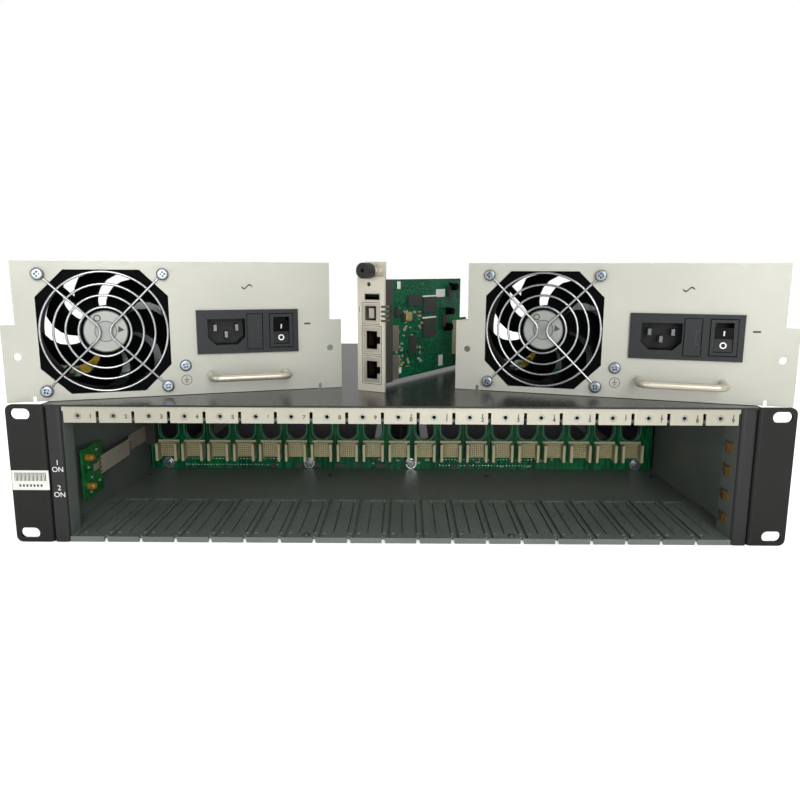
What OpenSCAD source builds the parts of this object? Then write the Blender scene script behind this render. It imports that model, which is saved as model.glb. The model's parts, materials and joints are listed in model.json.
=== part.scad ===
// Rack chassis for slide-in media converter cards, with its two power supplies and
// one management card standing on its cover.
// Origin: middle of the chassis underside. +Z up, the card slots face -Y.

/* [Chassis body] */
// Width of the chassis over its cover
case_w = 438; // [430:1:442]
// Depth of the chassis, rack plane to rear
case_d = 381; // [370:1:420]
// Height of the chassis, two rack units less a working gap
case_h = 88.1; // [87.5:0.1:92]
// Thickness of the floor and side walls
wall_t = 1.6; // [1.2:0.1:2]
// Thickness of the cover sheet
cover_t = 1.2; // [1:0.1:1.5]
// Bend radius of the folded front edges
bend_r = 2.6; // [2.2:0.1:3]
// How far the left return runs back
return_d = 15; // [10:1:18]
// How far the right return runs back, with the ground fingers on it
finger_return_d = 21.5; // [20:0.5:24]
// Where the floor starts behind the rack plane
floor_front = 10; // [6:1:14]

/* [Rack ears] */
// Width over both ears
rack_w = 482.6; // [480:0.2:486]
// Distance between the ear slots across the rack
rack_hole_span = 465.1; // [463:0.1:466]
// Distance between the ear slots up the rack
rack_hole_rise = 76.2; // [70:0.1:78]
// Length of an ear slot
ear_slot_l = 12.2; // [9:0.1:13]
// Width of an ear slot
ear_slot_w = 6.8; // [6:0.1:7.5]
// Thickness of the ears
ear_t = 2; // [1.5:0.1:2.5]
// Length of the ear's leg along the side wall
ear_leg = 42; // [36:1:60]
// Radius of the ear's outer corners
ear_corner_r = 4; // [2:0.5:5]

/* [Card slots] */
// Number of card slots
slot_count = 19; // [19:1:19]
// Distance from slot to slot
slot_pitch = 21.844; // [21.7:0.001:21.9]
// Distance of the slot screws and connectors left of the slot centre
slot_offset = 1.6; // [1:0.1:2]
// Length of the card guides
guide_d = 78; // [60:1:100]
// Thickness of the guide plates
guide_t = 2; // [1.6:0.1:2.4]
// Depth of a guide groove
groove_depth = 1.6; // [0.8:0.1:1.7]
// Width of the groove that takes a card's board
board_groove_w = 2; // [1.8:0.1:2.2]
// Distance of that groove from the slot's left boundary
board_groove_x = 2.7; // [2.5:0.1:3.5]
// Depth of the upper guide plate's underside below the cover's top
top_guide_drop = 14.5; // [14.3:0.1:14.9]

/* [Front rail] */
// Depth of the rail's lower edge below the cover's top
rail_drop = 11.4; // [10.6:0.1:11.4]
// Set-back of the rail behind the rack plane
rail_set = 1.6; // [1:0.1:3]
// Thickness of the rail
rail_t = 1.5; // [1.2:0.1:2]
// Depth of the rail's upper leg
rail_leg = 12; // [8:1:16]
// Depth of the slot screw holes below the cover's top
slot_screw_drop = 7.2; // [6.6:0.1:7.6]
// Radius of the slot screw holes
slot_screw_r = 1.25; // [1.2:0.05:1.5]
// Width of the notches between the slots
notch_w = 2; // [1.5:0.1:2.5]
// Height of those notches
notch_h = 7.2; // [5:0.1:7.5]

/* [Backplane] */
// Distance of the backplane behind the rack plane
backplane_y = 166; // [160:1:170]
// Width of the backplane
backplane_w = 428; // [424:1:430]
// Thickness of the backplane
backplane_t = 2.4; // [1.6:0.1:3.2]
// Width of an airflow window
window_w = 14; // [12:0.1:15]
// Lowest point of the airflow windows
window_z = 27.5; // [27.5:0.1:30]
// Depth of the windows' highest point below the cover's top
window_top_drop = 14.6; // [10.6:0.1:24.6]
// Width of a slot connector
connector_w = 17.6; // [16:0.1:18]
// Height of a slot connector
connector_h = 14.2; // [12:0.1:14.5]
// Depth of a slot connector
connector_d = 10; // [8:0.1:12]
// Underside of the slot connectors
connector_z = 12.6; // [12:0.1:12.8]
// Distance from the backplane to the bulkhead behind it
bulkhead_gap = 5; // [4:0.1:6]

/* [Power supplies] */
// Width of a supply's front plate between its tabs
plate_w = 194.7; // [193:0.1:196]
// Height of the front plate
plate_h = 86; // [85:0.1:86.5]
// Thickness of the supply's sheet
plate_t = 1.6; // [1.2:0.1:2]
// Width of the side tabs
tab_w = 8; // [7:0.1:9]
// Height of the side tabs
tab_h = 47.5; // [40:0.5:55]
// Radius of the tab holes
tab_hole_r = 2.2; // [2:0.1:2.4]
// Height of the tab holes
tab_hole_z = 28; // [24:0.5:32]
// Depth of a supply's tray
tray_d = 190; // [180:1:195]
// Height of the tray's side lips
tray_lip = 14; // [10:1:18]
// Size of the fan
fan_size = 80; // [80:1:80]
// Depth of the fan
fan_d = 25; // [20:1:25]
// Height of the fan's centre
fan_z = 42.3; // [42:0.1:43]
// Distance of the fan's centre from the plate's left edge
fan_x = 50.7; // [50:0.1:52]
// Distance between the fan's screws
fan_screw_span = 71.5; // [71.5:0.1:71.5]
// Number of fan blades
blade_count = 7; // [5:1:9]
// Wire of the fan guard
guard_wire = 1.5; // [1.4:0.1:2]
// Width of the inlet module
inlet_w = 66.6; // [64:0.1:68]
// Height of the inlet module
inlet_h = 28.7; // [27:0.1:30]
// Distance of the inlet's centre from the plate's left edge
inlet_x = 139; // [138:0.1:140]
// Height of the inlet's centre
inlet_z = 40.7; // [40:0.1:42]
// Length of the pull handle
handle_l = 54; // [50:1:60]
// Distance of the pull handle from the plate
handle_reach = 22; // [18:1:26]
// Thickness of the handle's rod
handle_rod = 4.6; // [4:0.1:5]

/* [Card] */
// Width of the card's faceplate
face_w = 21.6; // [21:0.1:21.7]
// Thickness of the faceplate
face_t = 1.2; // [1:0.1:1.5]
// Length of the card's board
board_l = 146; // [140:1:152]
// Thickness of the card's board
board_t = 1.6; // [1.5:0.1:1.7]
// Radius of the thumbscrew's knob
knob_r = 5.2; // [4.5:0.1:5.4]
// Length of the knob
knob_l = 7.8; // [7:0.1:9]

/* [Standing on the cover] */
// Place of the left supply's lower left corner, right of the middle
left_supply_x = -233.3; // [-235:0.1:-225]
// The same corner, behind the rack plane
left_supply_y = 5; // [3:0.1:12]
// Turn of the left supply
left_supply_turn = 19.1; // [17:0.1:21]
// Place of the right supply's lower left corner, right of the middle
right_supply_x = 45.6; // [44:0.1:50]
// The same corner, behind the rack plane
right_supply_y = 63.8; // [60:0.1:70]
// Turn of the right supply
right_supply_turn = -18.4; // [-20:0.1:-16]
// Place of the card's lower left corner, right of the middle
card_x = -29.4; // [-34:0.1:-28]
// The same corner, behind the rack plane
card_y = 58.7; // [56:0.1:62]
// Turn of the card
card_turn = -30.9; // [-33:0.1:-28]

/* [Hidden] */
$fn = 48;
arc_steps = 5;
// Overrun of every cut past the face that it opens
cut = 1;
// Clearance between pieces that are fastened together
seat = 0.1;
// Clearance under what stands on the cover
rest = 0.3;
// Running clearance between a moving piece and its housing
run = 0.3;

cage_half = slot_count * slot_pitch / 2;
skin_x = case_w / 2 - cover_t - seat;
inner_x = skin_x - wall_t;
shell_h = case_h - cover_t - seat;
floor_top = wall_t;
top_guide_z = case_h - top_guide_drop;
rail_z = case_h - rail_drop;
slot_screw_z = case_h - slot_screw_drop;
window_h = case_h - window_top_drop - window_z;

// Tray of a supply and the plug at its rear, from the plate's lower left corner
tray_x = 8.5;
tray_w = plate_w - 2 * tray_x;
plug_w = 78;
plug_h = 5.8;
plug_d = 24;
plug_x = 134;
plug_z = 2.2;
plug_reach = 4;

// Rear frame: each bay takes a supply, whose tab holes meet the frame
guide_rail_t = 1.2;
bay_x = 108.9;
bay_opening = tray_w + 2 * (guide_rail_t + 3 * run);
rear_flange_x = bay_x + bay_opening / 2;
tab_hole_span = plate_w;
// Height at which a supply's tray runs in its bay, and a card in its slot
bay_base_z = floor_top + 2 * seat;
card_base_z = 2 * seat;
face_h = rail_z - card_base_z - seat;

// Ground fingers on the right return, measured up from the underside
finger_z_shares = [0.163, 0.333, 0.516, 0.69];
finger_h = 6;
finger_t = 0.5;
finger_front_y = 8;
finger_bow_y = 11;
finger_bow = 2;
finger_slot_y = 18;
finger_slot_w = 1.4;
finger_slot_over = 1.6;

// Guide plate details
guide_top = floor_top + seat + guide_t;
guide_step_y = finger_return_d + cut;
bead_front_y = 9;
lip_t = 1.2;
lip_gap = 0.2;
wedge_w = 2.6;
wedge_side = 0.5;
wedge_d = 2.2;
wedge_top_share = 0.5;
thin_groove_w = 1;
thin_groove_x = 11.6;
edge_groove_w = 1.2;
cross_slit_y = 74;
cross_slit_w = 1;
dimple_y = 8;
dimple_x = 0.8;
dimple_pitch = 5.6;
dimple_r = 1.3;
dimple_h = 0.5;
end_flange_h = 9;
groove_end_pitch = 3;

// Floor and cover fasteners
rivet_r = 2.4;
rivet_h = 1;
rivet_rear_y = 146;
rivet_front_y = 5;
rivet_tab_w = 8;
rivet_x_shares = [-0.275, 0.328];
floor_rivet_x_shares = [-0.275, 0.328, -0.961, 0.961];
screw_head_r = 3.4;
screw_head_h = 2.2;
screw_shank_r = 1.6;
cover_flange_h = 17;
cover_screw_drop = 9;
cover_screw_y_shares = [0.22, 0.56, 0.92];
ear_screw_z_shares = [0.16, 0.5, 0.84];
ear_screw_y_share = 0.55;
shank_l = 5;
ear_shank_l = ear_t + wall_t + 2 * seat;
cover_shank_l = cover_t + wall_t + 2 * seat;

// Rail details
rail_h = shell_h - rail_z - seat;
collar_r = 2.3;
collar_l = 1.5;
screw_x_off = 1.2;

// Backplane details
backplane_z = floor_top + 0.2 * lip_t;
backplane_h = shell_h - backplane_z - 3 * seat;
connector_wall = 1.5;
connector_leg = 2;
connector_leg_drop = 2;
connector_pocket = 7;
contact_block_h = 11.2;
contact_block_gap = 1.2;
contact_block_d = 5;
backplane_screw_x_shares = [-0.931, -0.368, 0.04, 0.937];
backplane_screw_z = 6.6;
backplane_screw_top_z = case_h - 8.1;
standoff_r = 3;
dock_wall = 1.4;
dock_w = plug_w + 2 * (dock_wall + run);
dock_h = plug_h + 2 * (dock_wall + run);
dock_d = 26;
dock_z = bay_base_z + plug_z - dock_wall - run;
dock_pocket = 14;
bulkhead_t = 1.6;
bulkhead_margin = 1;
bulkhead_y = backplane_y + backplane_t + bulkhead_gap;
chip_h = 1.4;
chip_z = 5;
chip_x_shares = [-0.26, -0.21, -0.17, -0.13, -0.09, -0.05, 0.1, 0.13];
chip_l_shares = [0.01, 0.014, 0.008, 0.018, 0.01, 0.02, 0.012, 0.008];
chip_w = 4;

// Lamp board on the left wall and its ribbon
lamp_board_y = 33;
lamp_board_l = 30;
lamp_board_z = 16;
lamp_board_h = 35;
lamp_board_t = 1.6;
lamp_board_gap = 3;
lamp_r = 2.5;
lamp_l = 3.4;
lamp_y = 38.6;
lamp_z = [24.7, 44.7];
spacer_r = 2.4;
ribbon_t = 0.9;
ribbon_w = 13;
ribbon_z = 27.5;
ribbon_start = 59;
ribbon_step = 112;
ribbon_step_l = 9;
ribbon_pad = 0.2;
header_w = 8.4;
header_d = 8;
header_h = 18;
header_z = 24.5;

// Bay divider and tray guides
divider_face = 27;
divider_hole_r = 1.6;
guide_rail_h = 10;
guide_rail_foot = 8;
guide_rail_l = 165;
guide_rail_front = 206;

// Supply tray
tray_lip_front = 3;
relief_w = 2;
relief_h = 3.2;
fan_opening = 77;
fan_chamfer = 16.5;
fan_hole_r = 2.15;
pillar_h = 6.5;
pillar_r = 3;
supply_board_x = 6;
supply_board_front = 36;
supply_board_rear = 8;
supply_board_t = 1.6;
pillar_inset = 8;
pillar_rear = 17;
supply_board_z = plate_t + pillar_h;
supply_top = supply_board_z + supply_board_t;
earth_x = 97.9;
earth_z = 19.3;

// Supply parts, placed as shares of the supply board
sink_t = 2.4;
sink_h = 44;
sink_fin = 7;
sink_fin_t = 1.4;
sink_fin_count = 9;
sink_y_shares = [0.12, 0.88];
sink_x_shares = [0.2, 0.78];
core_w = 38;
core_d = 32;
core_h = 30;
core_yoke = 9;
winding_over = 3;
core_x_share = 0.45;
core_y_share = 0.42;
bulk_cap_r = 12;
bulk_cap_h = 36;
small_cap_r = 6;
small_cap_h = 22;
cap_y_share = 0.3;
cap_x_shares = [0.68, 0.84];
small_cap_x_shares = [0.3, 0.4, 0.5, 0.6];
small_cap_y_share = 0.78;
choke_r = 10;
choke_wire = 4;
choke_x_share = 0.16;
choke_y_share = 0.36;

// Fan
fan_bore_r = 38;
fan_corner_r = 4;
fan_flange = 4;
fan_body_cut = 9;
hub_r = 15.8;
hub_l = 19;
hub_start = 1.6;
hub_dish = 1;
blade_t = 1.4;
blade_l = 15;
blade_start = 3;
blade_sweep = 26;
blade_twist = 36;
blade_gap = 1.2;
blade_steps = 5;
blade_slices = 12;
bearing_r = 4;
bearing_l = 8;
bearing_gap = 0.06;
motor_r = 14;
motor_l = 3;
strut_w = 3.4;
strut_count = 4;

// Fan guard: rings and two bent cross wires that end in eyes
ring_r_shares = [0.413, 0.611, 0.797, 1];
ring_max_r = 37.3;
cross_bend_r = 7.5;
bend_lap = 0.5;
eye_r = 2.9;
guard_off = 0.2;
guard_sink = 0.35;
fan_screw_r = 3.8;
fan_screw_h = 2.4;

// Inlet module, from its centre
inlet_flange = 2;
inlet_body_w = 62;
inlet_body_h = 25;
inlet_body_d = 28;
socket_x = -14.25;
socket_w = 24.3;
socket_h = 17.2;
socket_d = 16;
socket_chamfer = 5;
blade_pin_w = 2;
blade_pin_h = 4;
pin_l = 12;
pin_x = 7;
pin_z = 2.4;
earth_pin_z = -2;
fuse_x = 4.1;
fuse_w = 9.6;
fuse_h = 22.6;
fuse_body_w = 8;
fuse_body_h = 20;
fuse_d = 18;
fuse_front = 1.2;
fuse_grip_w = 3;
fuse_grip_h = 9;
rocker_x = 21.7;
rocker_z = 0.3;
rocker_w = 10.2;
rocker_h = 15.2;
rocker_proud = 2.2;
rocker_body = 7;
rocker_tilt = 9;
rocker_pin_r = 1.5;
rocker_pin_l = 1.6;
rocker_pin_gap = 0.06;
rocker_well = 14;
rocker_sweep = 1.6;
bezel_w = 2.9;
bezel_t = 0.8;

// Handle
handle_x = 138;
handle_z = 12.8;
handle_bend_r = 6;

// Card details
tab_drop = 5;
tab_top = 86.6;
tab_side = 2.6;
flange_d = 10.5;
flange_low = 6;
vent_h = 1.7;
vent_pitch = 3.1;
vent_z = 57.2;
vent_count = 4;
vent_d = 9;
vent_w = 3;
board_x = board_groove_x + (board_groove_w - board_t) / 2 - (slot_pitch - face_w) / 2;
board_face = board_x + board_t;
board_z = guide_top - groove_depth + 2 * seat - card_base_z;
board_h = top_guide_z + groove_depth - board_z - card_base_z - run;
board_front = face_t + run;
board_tail = 12;
board_tail_h = 40;
usb_a = [5.2, 60.9, 13.2, 5.4];
usb_b = [4.6, 46.3, 12, 12.8];
jack_x = board_face + seat;
jack_w = 13.8;
jack_h = 17.5;
jack_z = [5.9, 26.1];
jack_l = 24;
jack_hole_w = 8.6;
jack_hole_h = 12.2;
jack_latch_w = 2.4;
jack_latch_h = 5;
jack_hole_x = 2.7;
jack_pocket = 14;
usb_l = 14;
usb_wall = 0.8;
usb_pocket = 9;
usb_tongue_h = 1.8;
tongue_b_w = 4;
tongue_b_h = 6.6;
status_hole_r = 1.5;
status_hole = [9.3, 71.8];
reset_hole_w = 1.2;
reset_hole_h = 3.6;
reset_hole = [2, 55];
reset_travel_gap = 1.5;
reset_body_d = 6;
reset_body = 3;
ferrule_r = 4;
screw_tip_l = 12;
screw_tip_r = 1.5;
tip_gap = 0.06;
knob_axis = [face_w / 2 - screw_x_off, slot_screw_z - card_base_z];
knob_ribs = 20;
rib_w = 0.6;
socket_hex_r = 1.6;
socket_hex_d = 2.5;
main_chip = 20;
chip_rise = 1.6;
chip_corners = [[81, 49], [81, 30.5], [58, 55]];
chip_sizes = [[20, 12], [20, 14], [18, 8]];
small_chips = [[50, 44, 8, 6], [60, 20, 10, 13], [122, 60, 7, 9], [112, 36, 8, 10], [40, 48, 6, 5]];
rear_body_h = 28;
rear_body_w = 10;
rear_body_d = 26;
rear_plug_l = 10;

// Points along an arc about a centre, from one angle to another
function arc(c, r, a0, a1) = [for (i = [0 : arc_steps])
  let (a = a0 + (a1 - a0) * i / arc_steps) c + r * [cos(a), sin(a)]];

// Left boundary of a slot, counted from 0
function slot_x(i) = (i - slot_count / 2) * slot_pitch;
// Centre of a slot's connector and airflow window
function port_x(i) = slot_x(i + 1 / 2) - slot_offset;

// Middle of the dock in the left or right bay, where a supply's plug arrives
function dock_x(side) = side * bay_x - (plug_x - plate_w / 2);

// A block between two limits on each axis
module slab(x, y, z) {
  translate([x[0], y[0], z[0]]) cube([x[1] - x[0], y[1] - y[0], z[1] - z[0]]);
}

// A rod along +Y from a point
module rod_y(at, r, l) {
  translate(at) rotate([-90, 0, 0]) cylinder(r = r, h = l);
}

// A rod along +X from a point
module rod_x(at, r, l) {
  translate(at) rotate([0, 90, 0]) cylinder(r = r, h = l);
}

// An outline in the X-Z plane, run back along +Y
module run_back(y0, l) {
  translate([0, y0 + l, 0]) rotate([90, 0, 0]) linear_extrude(l) children();
}

// A plate with round corners, centred, in the X-Y plane
module round_plate(w, h, r) {
  polygon(concat(
    arc([w / 2 - r, h / 2 - r], r, 0, 90), arc([r - w / 2, h / 2 - r], r, 90, 180),
    arc([r - w / 2, r - h / 2], r, 180, 270), arc([w / 2 - r, r - h / 2], r, 270, 360)));
}

// A long slot with round ends, centred, standing up
module oblong(w, h) {
  square([w, h - w], center = true);
  for (s = [-1, 1]) translate([0, s * (h - w) / 2]) circle(w / 2);
}

// A pan head screw whose head rises along -Y from the seat at the origin
module pan_screw(head_r, head_h, r, l) {
  rod_y([0, -head_h, 0], head_r, head_h);
  rod_y([0, 0, 0], r, l);
}

module in_case() {
  translate([0, -case_d / 2, 0]) children();
}

module in_supply(left) {
  in_case()
    translate([left ? left_supply_x : right_supply_x, left ? left_supply_y : right_supply_y, case_h + rest])
      rotate(left ? left_supply_turn : right_supply_turn) children();
}

module in_card() {
  in_case() translate([card_x, card_y, case_h + rest]) rotate(card_turn) children();
}

module both_sides() {
  children();
  mirror([1, 0, 0]) children();
}

// Plan of the right wall with its folded front flange and return, and its rear flange
module wall_plan(back) {
  polygon(concat(
    [[rear_flange_x, case_d]],
    arc([skin_x - bend_r, case_d - bend_r], bend_r, 90, 0),
    arc([skin_x - bend_r, bend_r], bend_r, 0, -90),
    arc([cage_half + bend_r, bend_r], bend_r, -90, -180),
    [[cage_half, back], [cage_half + wall_t, back], [cage_half + wall_t, wall_t],
     [inner_x, wall_t], [inner_x, case_d - wall_t], [rear_flange_x, case_d - wall_t]]));
}

module chassis_base() {
  color("#35373A") in_case() difference() {
    union() {
      linear_extrude(shell_h) wall_plan(finger_return_d);
      mirror([1, 0, 0]) linear_extrude(shell_h) wall_plan(return_d);
      slab([-inner_x - wall_t / 2, inner_x + wall_t / 2], [floor_front, case_d], [0, floor_top]);
      for (s = rivet_x_shares) slab([inner_x * s - rivet_tab_w / 2, inner_x * s + rivet_tab_w / 2],
        [lip_t + run, floor_front + cut], [0, floor_top]);
    }
    both_sides() {
      rod_y([bay_x + tab_hole_span / 2, case_d - wall_t - cut, bay_base_z + tab_hole_z], divider_hole_r,
        wall_t + 2 * cut);
      for (s = ear_screw_z_shares)
        rod_x([inner_x - cut, ear_leg * ear_screw_y_share, case_h * s], screw_shank_r, wall_t + 2 * cut);
      for (s = cover_screw_y_shares)
        rod_x([inner_x - cut, case_d * s, case_h - cover_screw_drop], screw_shank_r, wall_t + 2 * cut);
    }
    for (s = finger_z_shares) slab([cage_half - cut, cage_half + wall_t + cut],
      [finger_slot_y, finger_slot_y + finger_slot_w],
      [case_h * s - finger_h / 2 - seat, case_h * s + finger_h / 2 + finger_slot_over]);
    for (s = rivet_x_shares)
      translate([inner_x * s, rivet_front_y, -cut]) cylinder(r = screw_shank_r, h = wall_t + 2 * cut);
    for (s = floor_rivet_x_shares)
      translate([inner_x * s, rivet_rear_y, -cut]) cylinder(r = screw_shank_r, h = wall_t + 2 * cut);
  }
}

module top_cover() {
  color("#2E2F31") in_case() difference() {
    union() {
      slab([-skin_x, skin_x], [0, case_d], [case_h - cover_t, case_h]);
      both_sides() {
        slab([skin_x - cover_t, case_w / 2], [ear_leg + cut, case_d], [case_h - cover_t, case_h]);
        slab([case_w / 2 - cover_t, case_w / 2], [ear_leg + cut, case_d], [case_h - cover_flange_h, case_h]);
      }
    }
    both_sides() for (s = cover_screw_y_shares)
      rod_x([skin_x - cut, case_d * s, case_h - cover_screw_drop], screw_shank_r, cover_t + 2 * cut);
  }
}

// Grooves of one guide plate, cut down from the height z0
module guide_grooves(z0, front) {
  for (i = [0 : slot_count - 1]) {
    slab([slot_x(i) + board_groove_x, slot_x(i) + board_groove_x + board_groove_w],
      [front + lip_t, guide_d + cut], [z0, z0 + groove_depth + cut]);
    slab([slot_x(i) + thin_groove_x, slot_x(i) + thin_groove_x + thin_groove_w],
      [front + bead_front_y, guide_d - groove_end_pitch], [z0, z0 + groove_depth + cut]);
    if (i > 0)
      slab([slot_x(i) - edge_groove_w, slot_x(i)],
        [front + bead_front_y, guide_d - groove_end_pitch], [z0, z0 + groove_depth + cut]);
    slab([slot_x(i) + board_groove_x + 2 * board_groove_w, slot_x(i + 1) - 2 * edge_groove_w],
      [cross_slit_y - cross_slit_w, cross_slit_y], [z0, z0 + groove_depth + cut]);
  }
}

// Floor plate with card grooves, a notched lip over the chassis' front edge and stamped dimples
module card_guide_floor() {
  z0 = floor_top + seat;
  wedge_z = guide_top + cut;
  color("#4A504C") in_case() difference() {
    union() {
      slab([seat - cage_half, cage_half - seat], [0, guide_d], [z0, guide_top]);
      slab([seat - cage_half, cage_half - seat], [0, lip_t], [lip_gap, guide_top]);
      slab([seat - inner_x, inner_x - seat], [guide_step_y, guide_d], [z0, guide_top]);
      for (i = [0 : slot_count - 1], k = [0, 1]) if (i + k > 0)
        translate([slot_x(i) + dimple_x + k * dimple_pitch, dimple_y, guide_top - seat])
          cylinder(r1 = dimple_r, r2 = dimple_r / 2, h = dimple_h + seat);
    }
    guide_grooves(guide_top - groove_depth, 0);
    for (i = [1 : slot_count - 1]) translate([slot_x(i) - wedge_side, 0, 0]) {
      run_back(-cut, wedge_d + cut)
        polygon([[0, -cut], [wedge_w, -cut], [wedge_w * wedge_top_share, wedge_z], [0, wedge_z]]);
      translate([wedge_w * wedge_top_share / 2, wedge_d, -cut])
        cylinder(r = wedge_w * wedge_top_share / 2, h = wedge_z + cut);
    }
    for (s = rivet_x_shares) translate([inner_x * s, rivet_front_y, 0])
      cylinder(r = screw_shank_r, h = guide_top + cut);
  }
}

// Upper guide plate, grooved from below, with upturned ends against the side walls
module card_guide_top() {
  color("#4A504C") in_case() {
    difference() {
      slab([seat - inner_x, inner_x - seat], [guide_step_y, guide_d], [top_guide_z, top_guide_z + guide_t]);
      translate([0, 0, 2 * top_guide_z + groove_depth]) mirror([0, 0, 1])
        guide_grooves(top_guide_z, guide_step_y - lip_t - cut);
    }
    both_sides() slab([inner_x - seat - wall_t, inner_x - seat], [guide_step_y, guide_d],
      [top_guide_z, top_guide_z + end_flange_h]);
  }
}

// Angle rail under the cover, with a tapped collar for each card and a notch between slots
module front_rail() {
  z1 = rail_z + rail_h;
  color("#DAD5C3") in_case() difference() {
    union() {
      slab([seat - cage_half, cage_half - seat], [rail_set, rail_set + rail_t], [rail_z, z1]);
      slab([seat - cage_half, cage_half - seat], [rail_set, rail_set + rail_leg], [z1 - rail_t, z1]);
      for (i = [0 : slot_count - 1])
        rod_y([slot_x(i + 1 / 2) - screw_x_off, rail_set + rail_t / 2, slot_screw_z], collar_r, rail_t / 2 + collar_l);
    }
    for (i = [0 : slot_count - 1])
      rod_y([slot_x(i + 1 / 2) - screw_x_off, rail_set - cut, slot_screw_z], slot_screw_r,
        rail_t + collar_l + 2 * cut);
    for (i = [0 : slot_count]) slab([slot_x(i) - notch_w / 2, slot_x(i) + notch_w / 2],
      [rail_set - cut, rail_set + rail_t + cut], [rail_z - cut, rail_z + notch_h]);
  }
}

// Plan of an ear: a front plate and a leg along the wall, joined by a soft bend
module ear_plan() {
  x0 = skin_x + seat;
  polygon(concat(
    arc([x0 + bend_r, bend_r], bend_r, 180, 270),
    [[rack_w / 2, 0], [rack_w / 2, ear_t], [x0 + ear_t, ear_t], [x0 + ear_t, ear_leg], [x0, ear_leg]]));
}

module rack_ear() {
  x0 = skin_x + seat;
  face = rack_w / 2 - x0;
  difference() {
    intersection() {
      linear_extrude(case_h) ear_plan();
      union() {
        translate([rack_w / 2 - face, 0, case_h / 2]) run_back(-cut, ear_t + 2 * cut)
          round_plate(2 * face, case_h, ear_corner_r);
        slab([x0 - cut, x0 + face / 2], [-cut, ear_leg + cut], [0, case_h]);
      }
    }
    for (s = [-1, 1]) translate([rack_hole_span / 2, 0, case_h / 2 + s * rack_hole_rise / 2])
      run_back(-cut, ear_t + 2 * cut) rotate(90) oblong(ear_slot_w, ear_slot_l);
    for (s = ear_screw_z_shares)
      rod_x([x0 - cut, ear_leg * ear_screw_y_share, case_h * s], screw_shank_r, ear_t + 2 * cut);
  }
}

module rack_ear_left() {
  color("#2B2A28") in_case() mirror([1, 0, 0]) rack_ear();
}

module rack_ear_right() {
  color("#2B2A28") in_case() rack_ear();
}

module side_screw(x, y, z, l) {
  translate([x, y, z]) rotate([0, 0, 90]) pan_screw(screw_head_r, screw_head_h, screw_shank_r - seat, l);
}

module ear_screws() {
  color("#1E1E20") in_case() both_sides() for (s = ear_screw_z_shares)
    side_screw(skin_x + 2 * seat + ear_t, ear_leg * ear_screw_y_share, case_h * s, ear_shank_l);
}

module cover_screws() {
  color("#1E1E20") in_case() both_sides() for (s = cover_screw_y_shares)
    side_screw(case_w / 2 + seat, case_d * s, case_h - cover_screw_drop, cover_shank_l);
}

// Domed rivets of the guide plate and of the floor
module floor_rivets() {
  color("#C8CBD0") in_case() {
    for (s = rivet_x_shares) translate([inner_x * s, rivet_front_y, 0]) {
      translate([0, 0, guide_top + seat / 2]) cylinder(r1 = rivet_r, r2 = rivet_r / 2, h = rivet_h);
      cylinder(r = screw_shank_r - seat, h = guide_top + seat);
    }
    for (s = floor_rivet_x_shares) translate([inner_x * s, rivet_rear_y, 0]) {
      translate([0, 0, floor_top + seat / 2]) cylinder(r1 = rivet_r, r2 = rivet_r / 2, h = rivet_h);
      cylinder(r = screw_shank_r - seat, h = floor_top + seat);
    }
  }
}

// Airflow windows above the slot connectors
module windows(grow) {
  for (i = [0 : slot_count - 1]) translate([port_x(i), window_z + window_h / 2])
    oblong(window_w + 2 * grow, window_h + 2 * grow);
}

module backplane_screw_points() {
  for (s = backplane_screw_x_shares, z = [backplane_screw_z, backplane_screw_top_z])
    translate([backplane_w / 2 * s, 0, z]) children();
}

module backplane_board() {
  color("#0B5A35") in_case() difference() {
    slab([-backplane_w / 2, backplane_w / 2], [backplane_y, backplane_y + backplane_t],
      [backplane_z, backplane_z + backplane_h]);
    run_back(backplane_y - cut, backplane_t + 2 * cut) windows(0);
    backplane_screw_points() rod_y([0, backplane_y - cut, 0], screw_shank_r, backplane_t + 2 * cut);
  }
}

// Header: a base on the board, two side walls with feet, and between them the block that carries
// the field of pins, open above and below
module slot_connector() {
  slab([-connector_w / 2, connector_w / 2], [-connector_wall, 0], [0, connector_h]);
  both_sides() slab([connector_w / 2 - connector_leg, connector_w / 2], [-connector_d, 0],
    [-connector_leg_drop, connector_h - connector_wall]);
  slab([connector_leg + contact_block_gap - connector_w / 2, connector_w / 2 - connector_leg - contact_block_gap],
    [-contact_block_d, 0], [connector_h / 2 - contact_block_h / 2, connector_h / 2 + contact_block_h / 2]);
}

module slot_connectors() {
  color("#B8AE86") in_case() for (i = [0 : slot_count - 1])
    translate([port_x(i), backplane_y - seat, connector_z]) slot_connector();
}

module backplane_screws() {
  color("#C4C8CC") in_case() backplane_screw_points() translate([0, backplane_y - seat, 0])
    pan_screw(screw_head_r, screw_head_h, screw_shank_r - seat, shank_l);
}

// Small flat parts below the connectors, left and right of the middle
module backplane_chips() {
  color("#20241F") in_case() for (i = [0 : len(chip_x_shares) - 1])
    translate([backplane_w * chip_x_shares[i], backplane_y - seat - chip_h, chip_z - chip_w / 2])
      cube([backplane_w * chip_l_shares[i], chip_h, chip_w]);
}

// Sheet behind the backplane, with matching windows and standoffs
module rear_bulkhead() {
  color("#3A3C3E") in_case() difference() {
    union() {
      slab([seat - inner_x, inner_x - seat], [bulkhead_y, bulkhead_y + bulkhead_t],
        [floor_top + seat, shell_h - seat]);
      backplane_screw_points()
        rod_y([0, backplane_y + backplane_t + seat, 0], standoff_r, bulkhead_gap);
    }
    run_back(bulkhead_y - cut, bulkhead_t + 2 * cut) windows(bulkhead_margin);
    backplane_screw_points() rod_y([0, backplane_y, 0], screw_shank_r, bulkhead_gap + backplane_t + cut);
    for (s = [-1, 1]) slab([dock_x(s) - dock_w / 2 - seat, dock_x(s) + dock_w / 2 + seat],
      [bulkhead_y - cut, bulkhead_y + bulkhead_t + cut], [0, dock_z + dock_h + seat]);
  }
}

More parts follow.
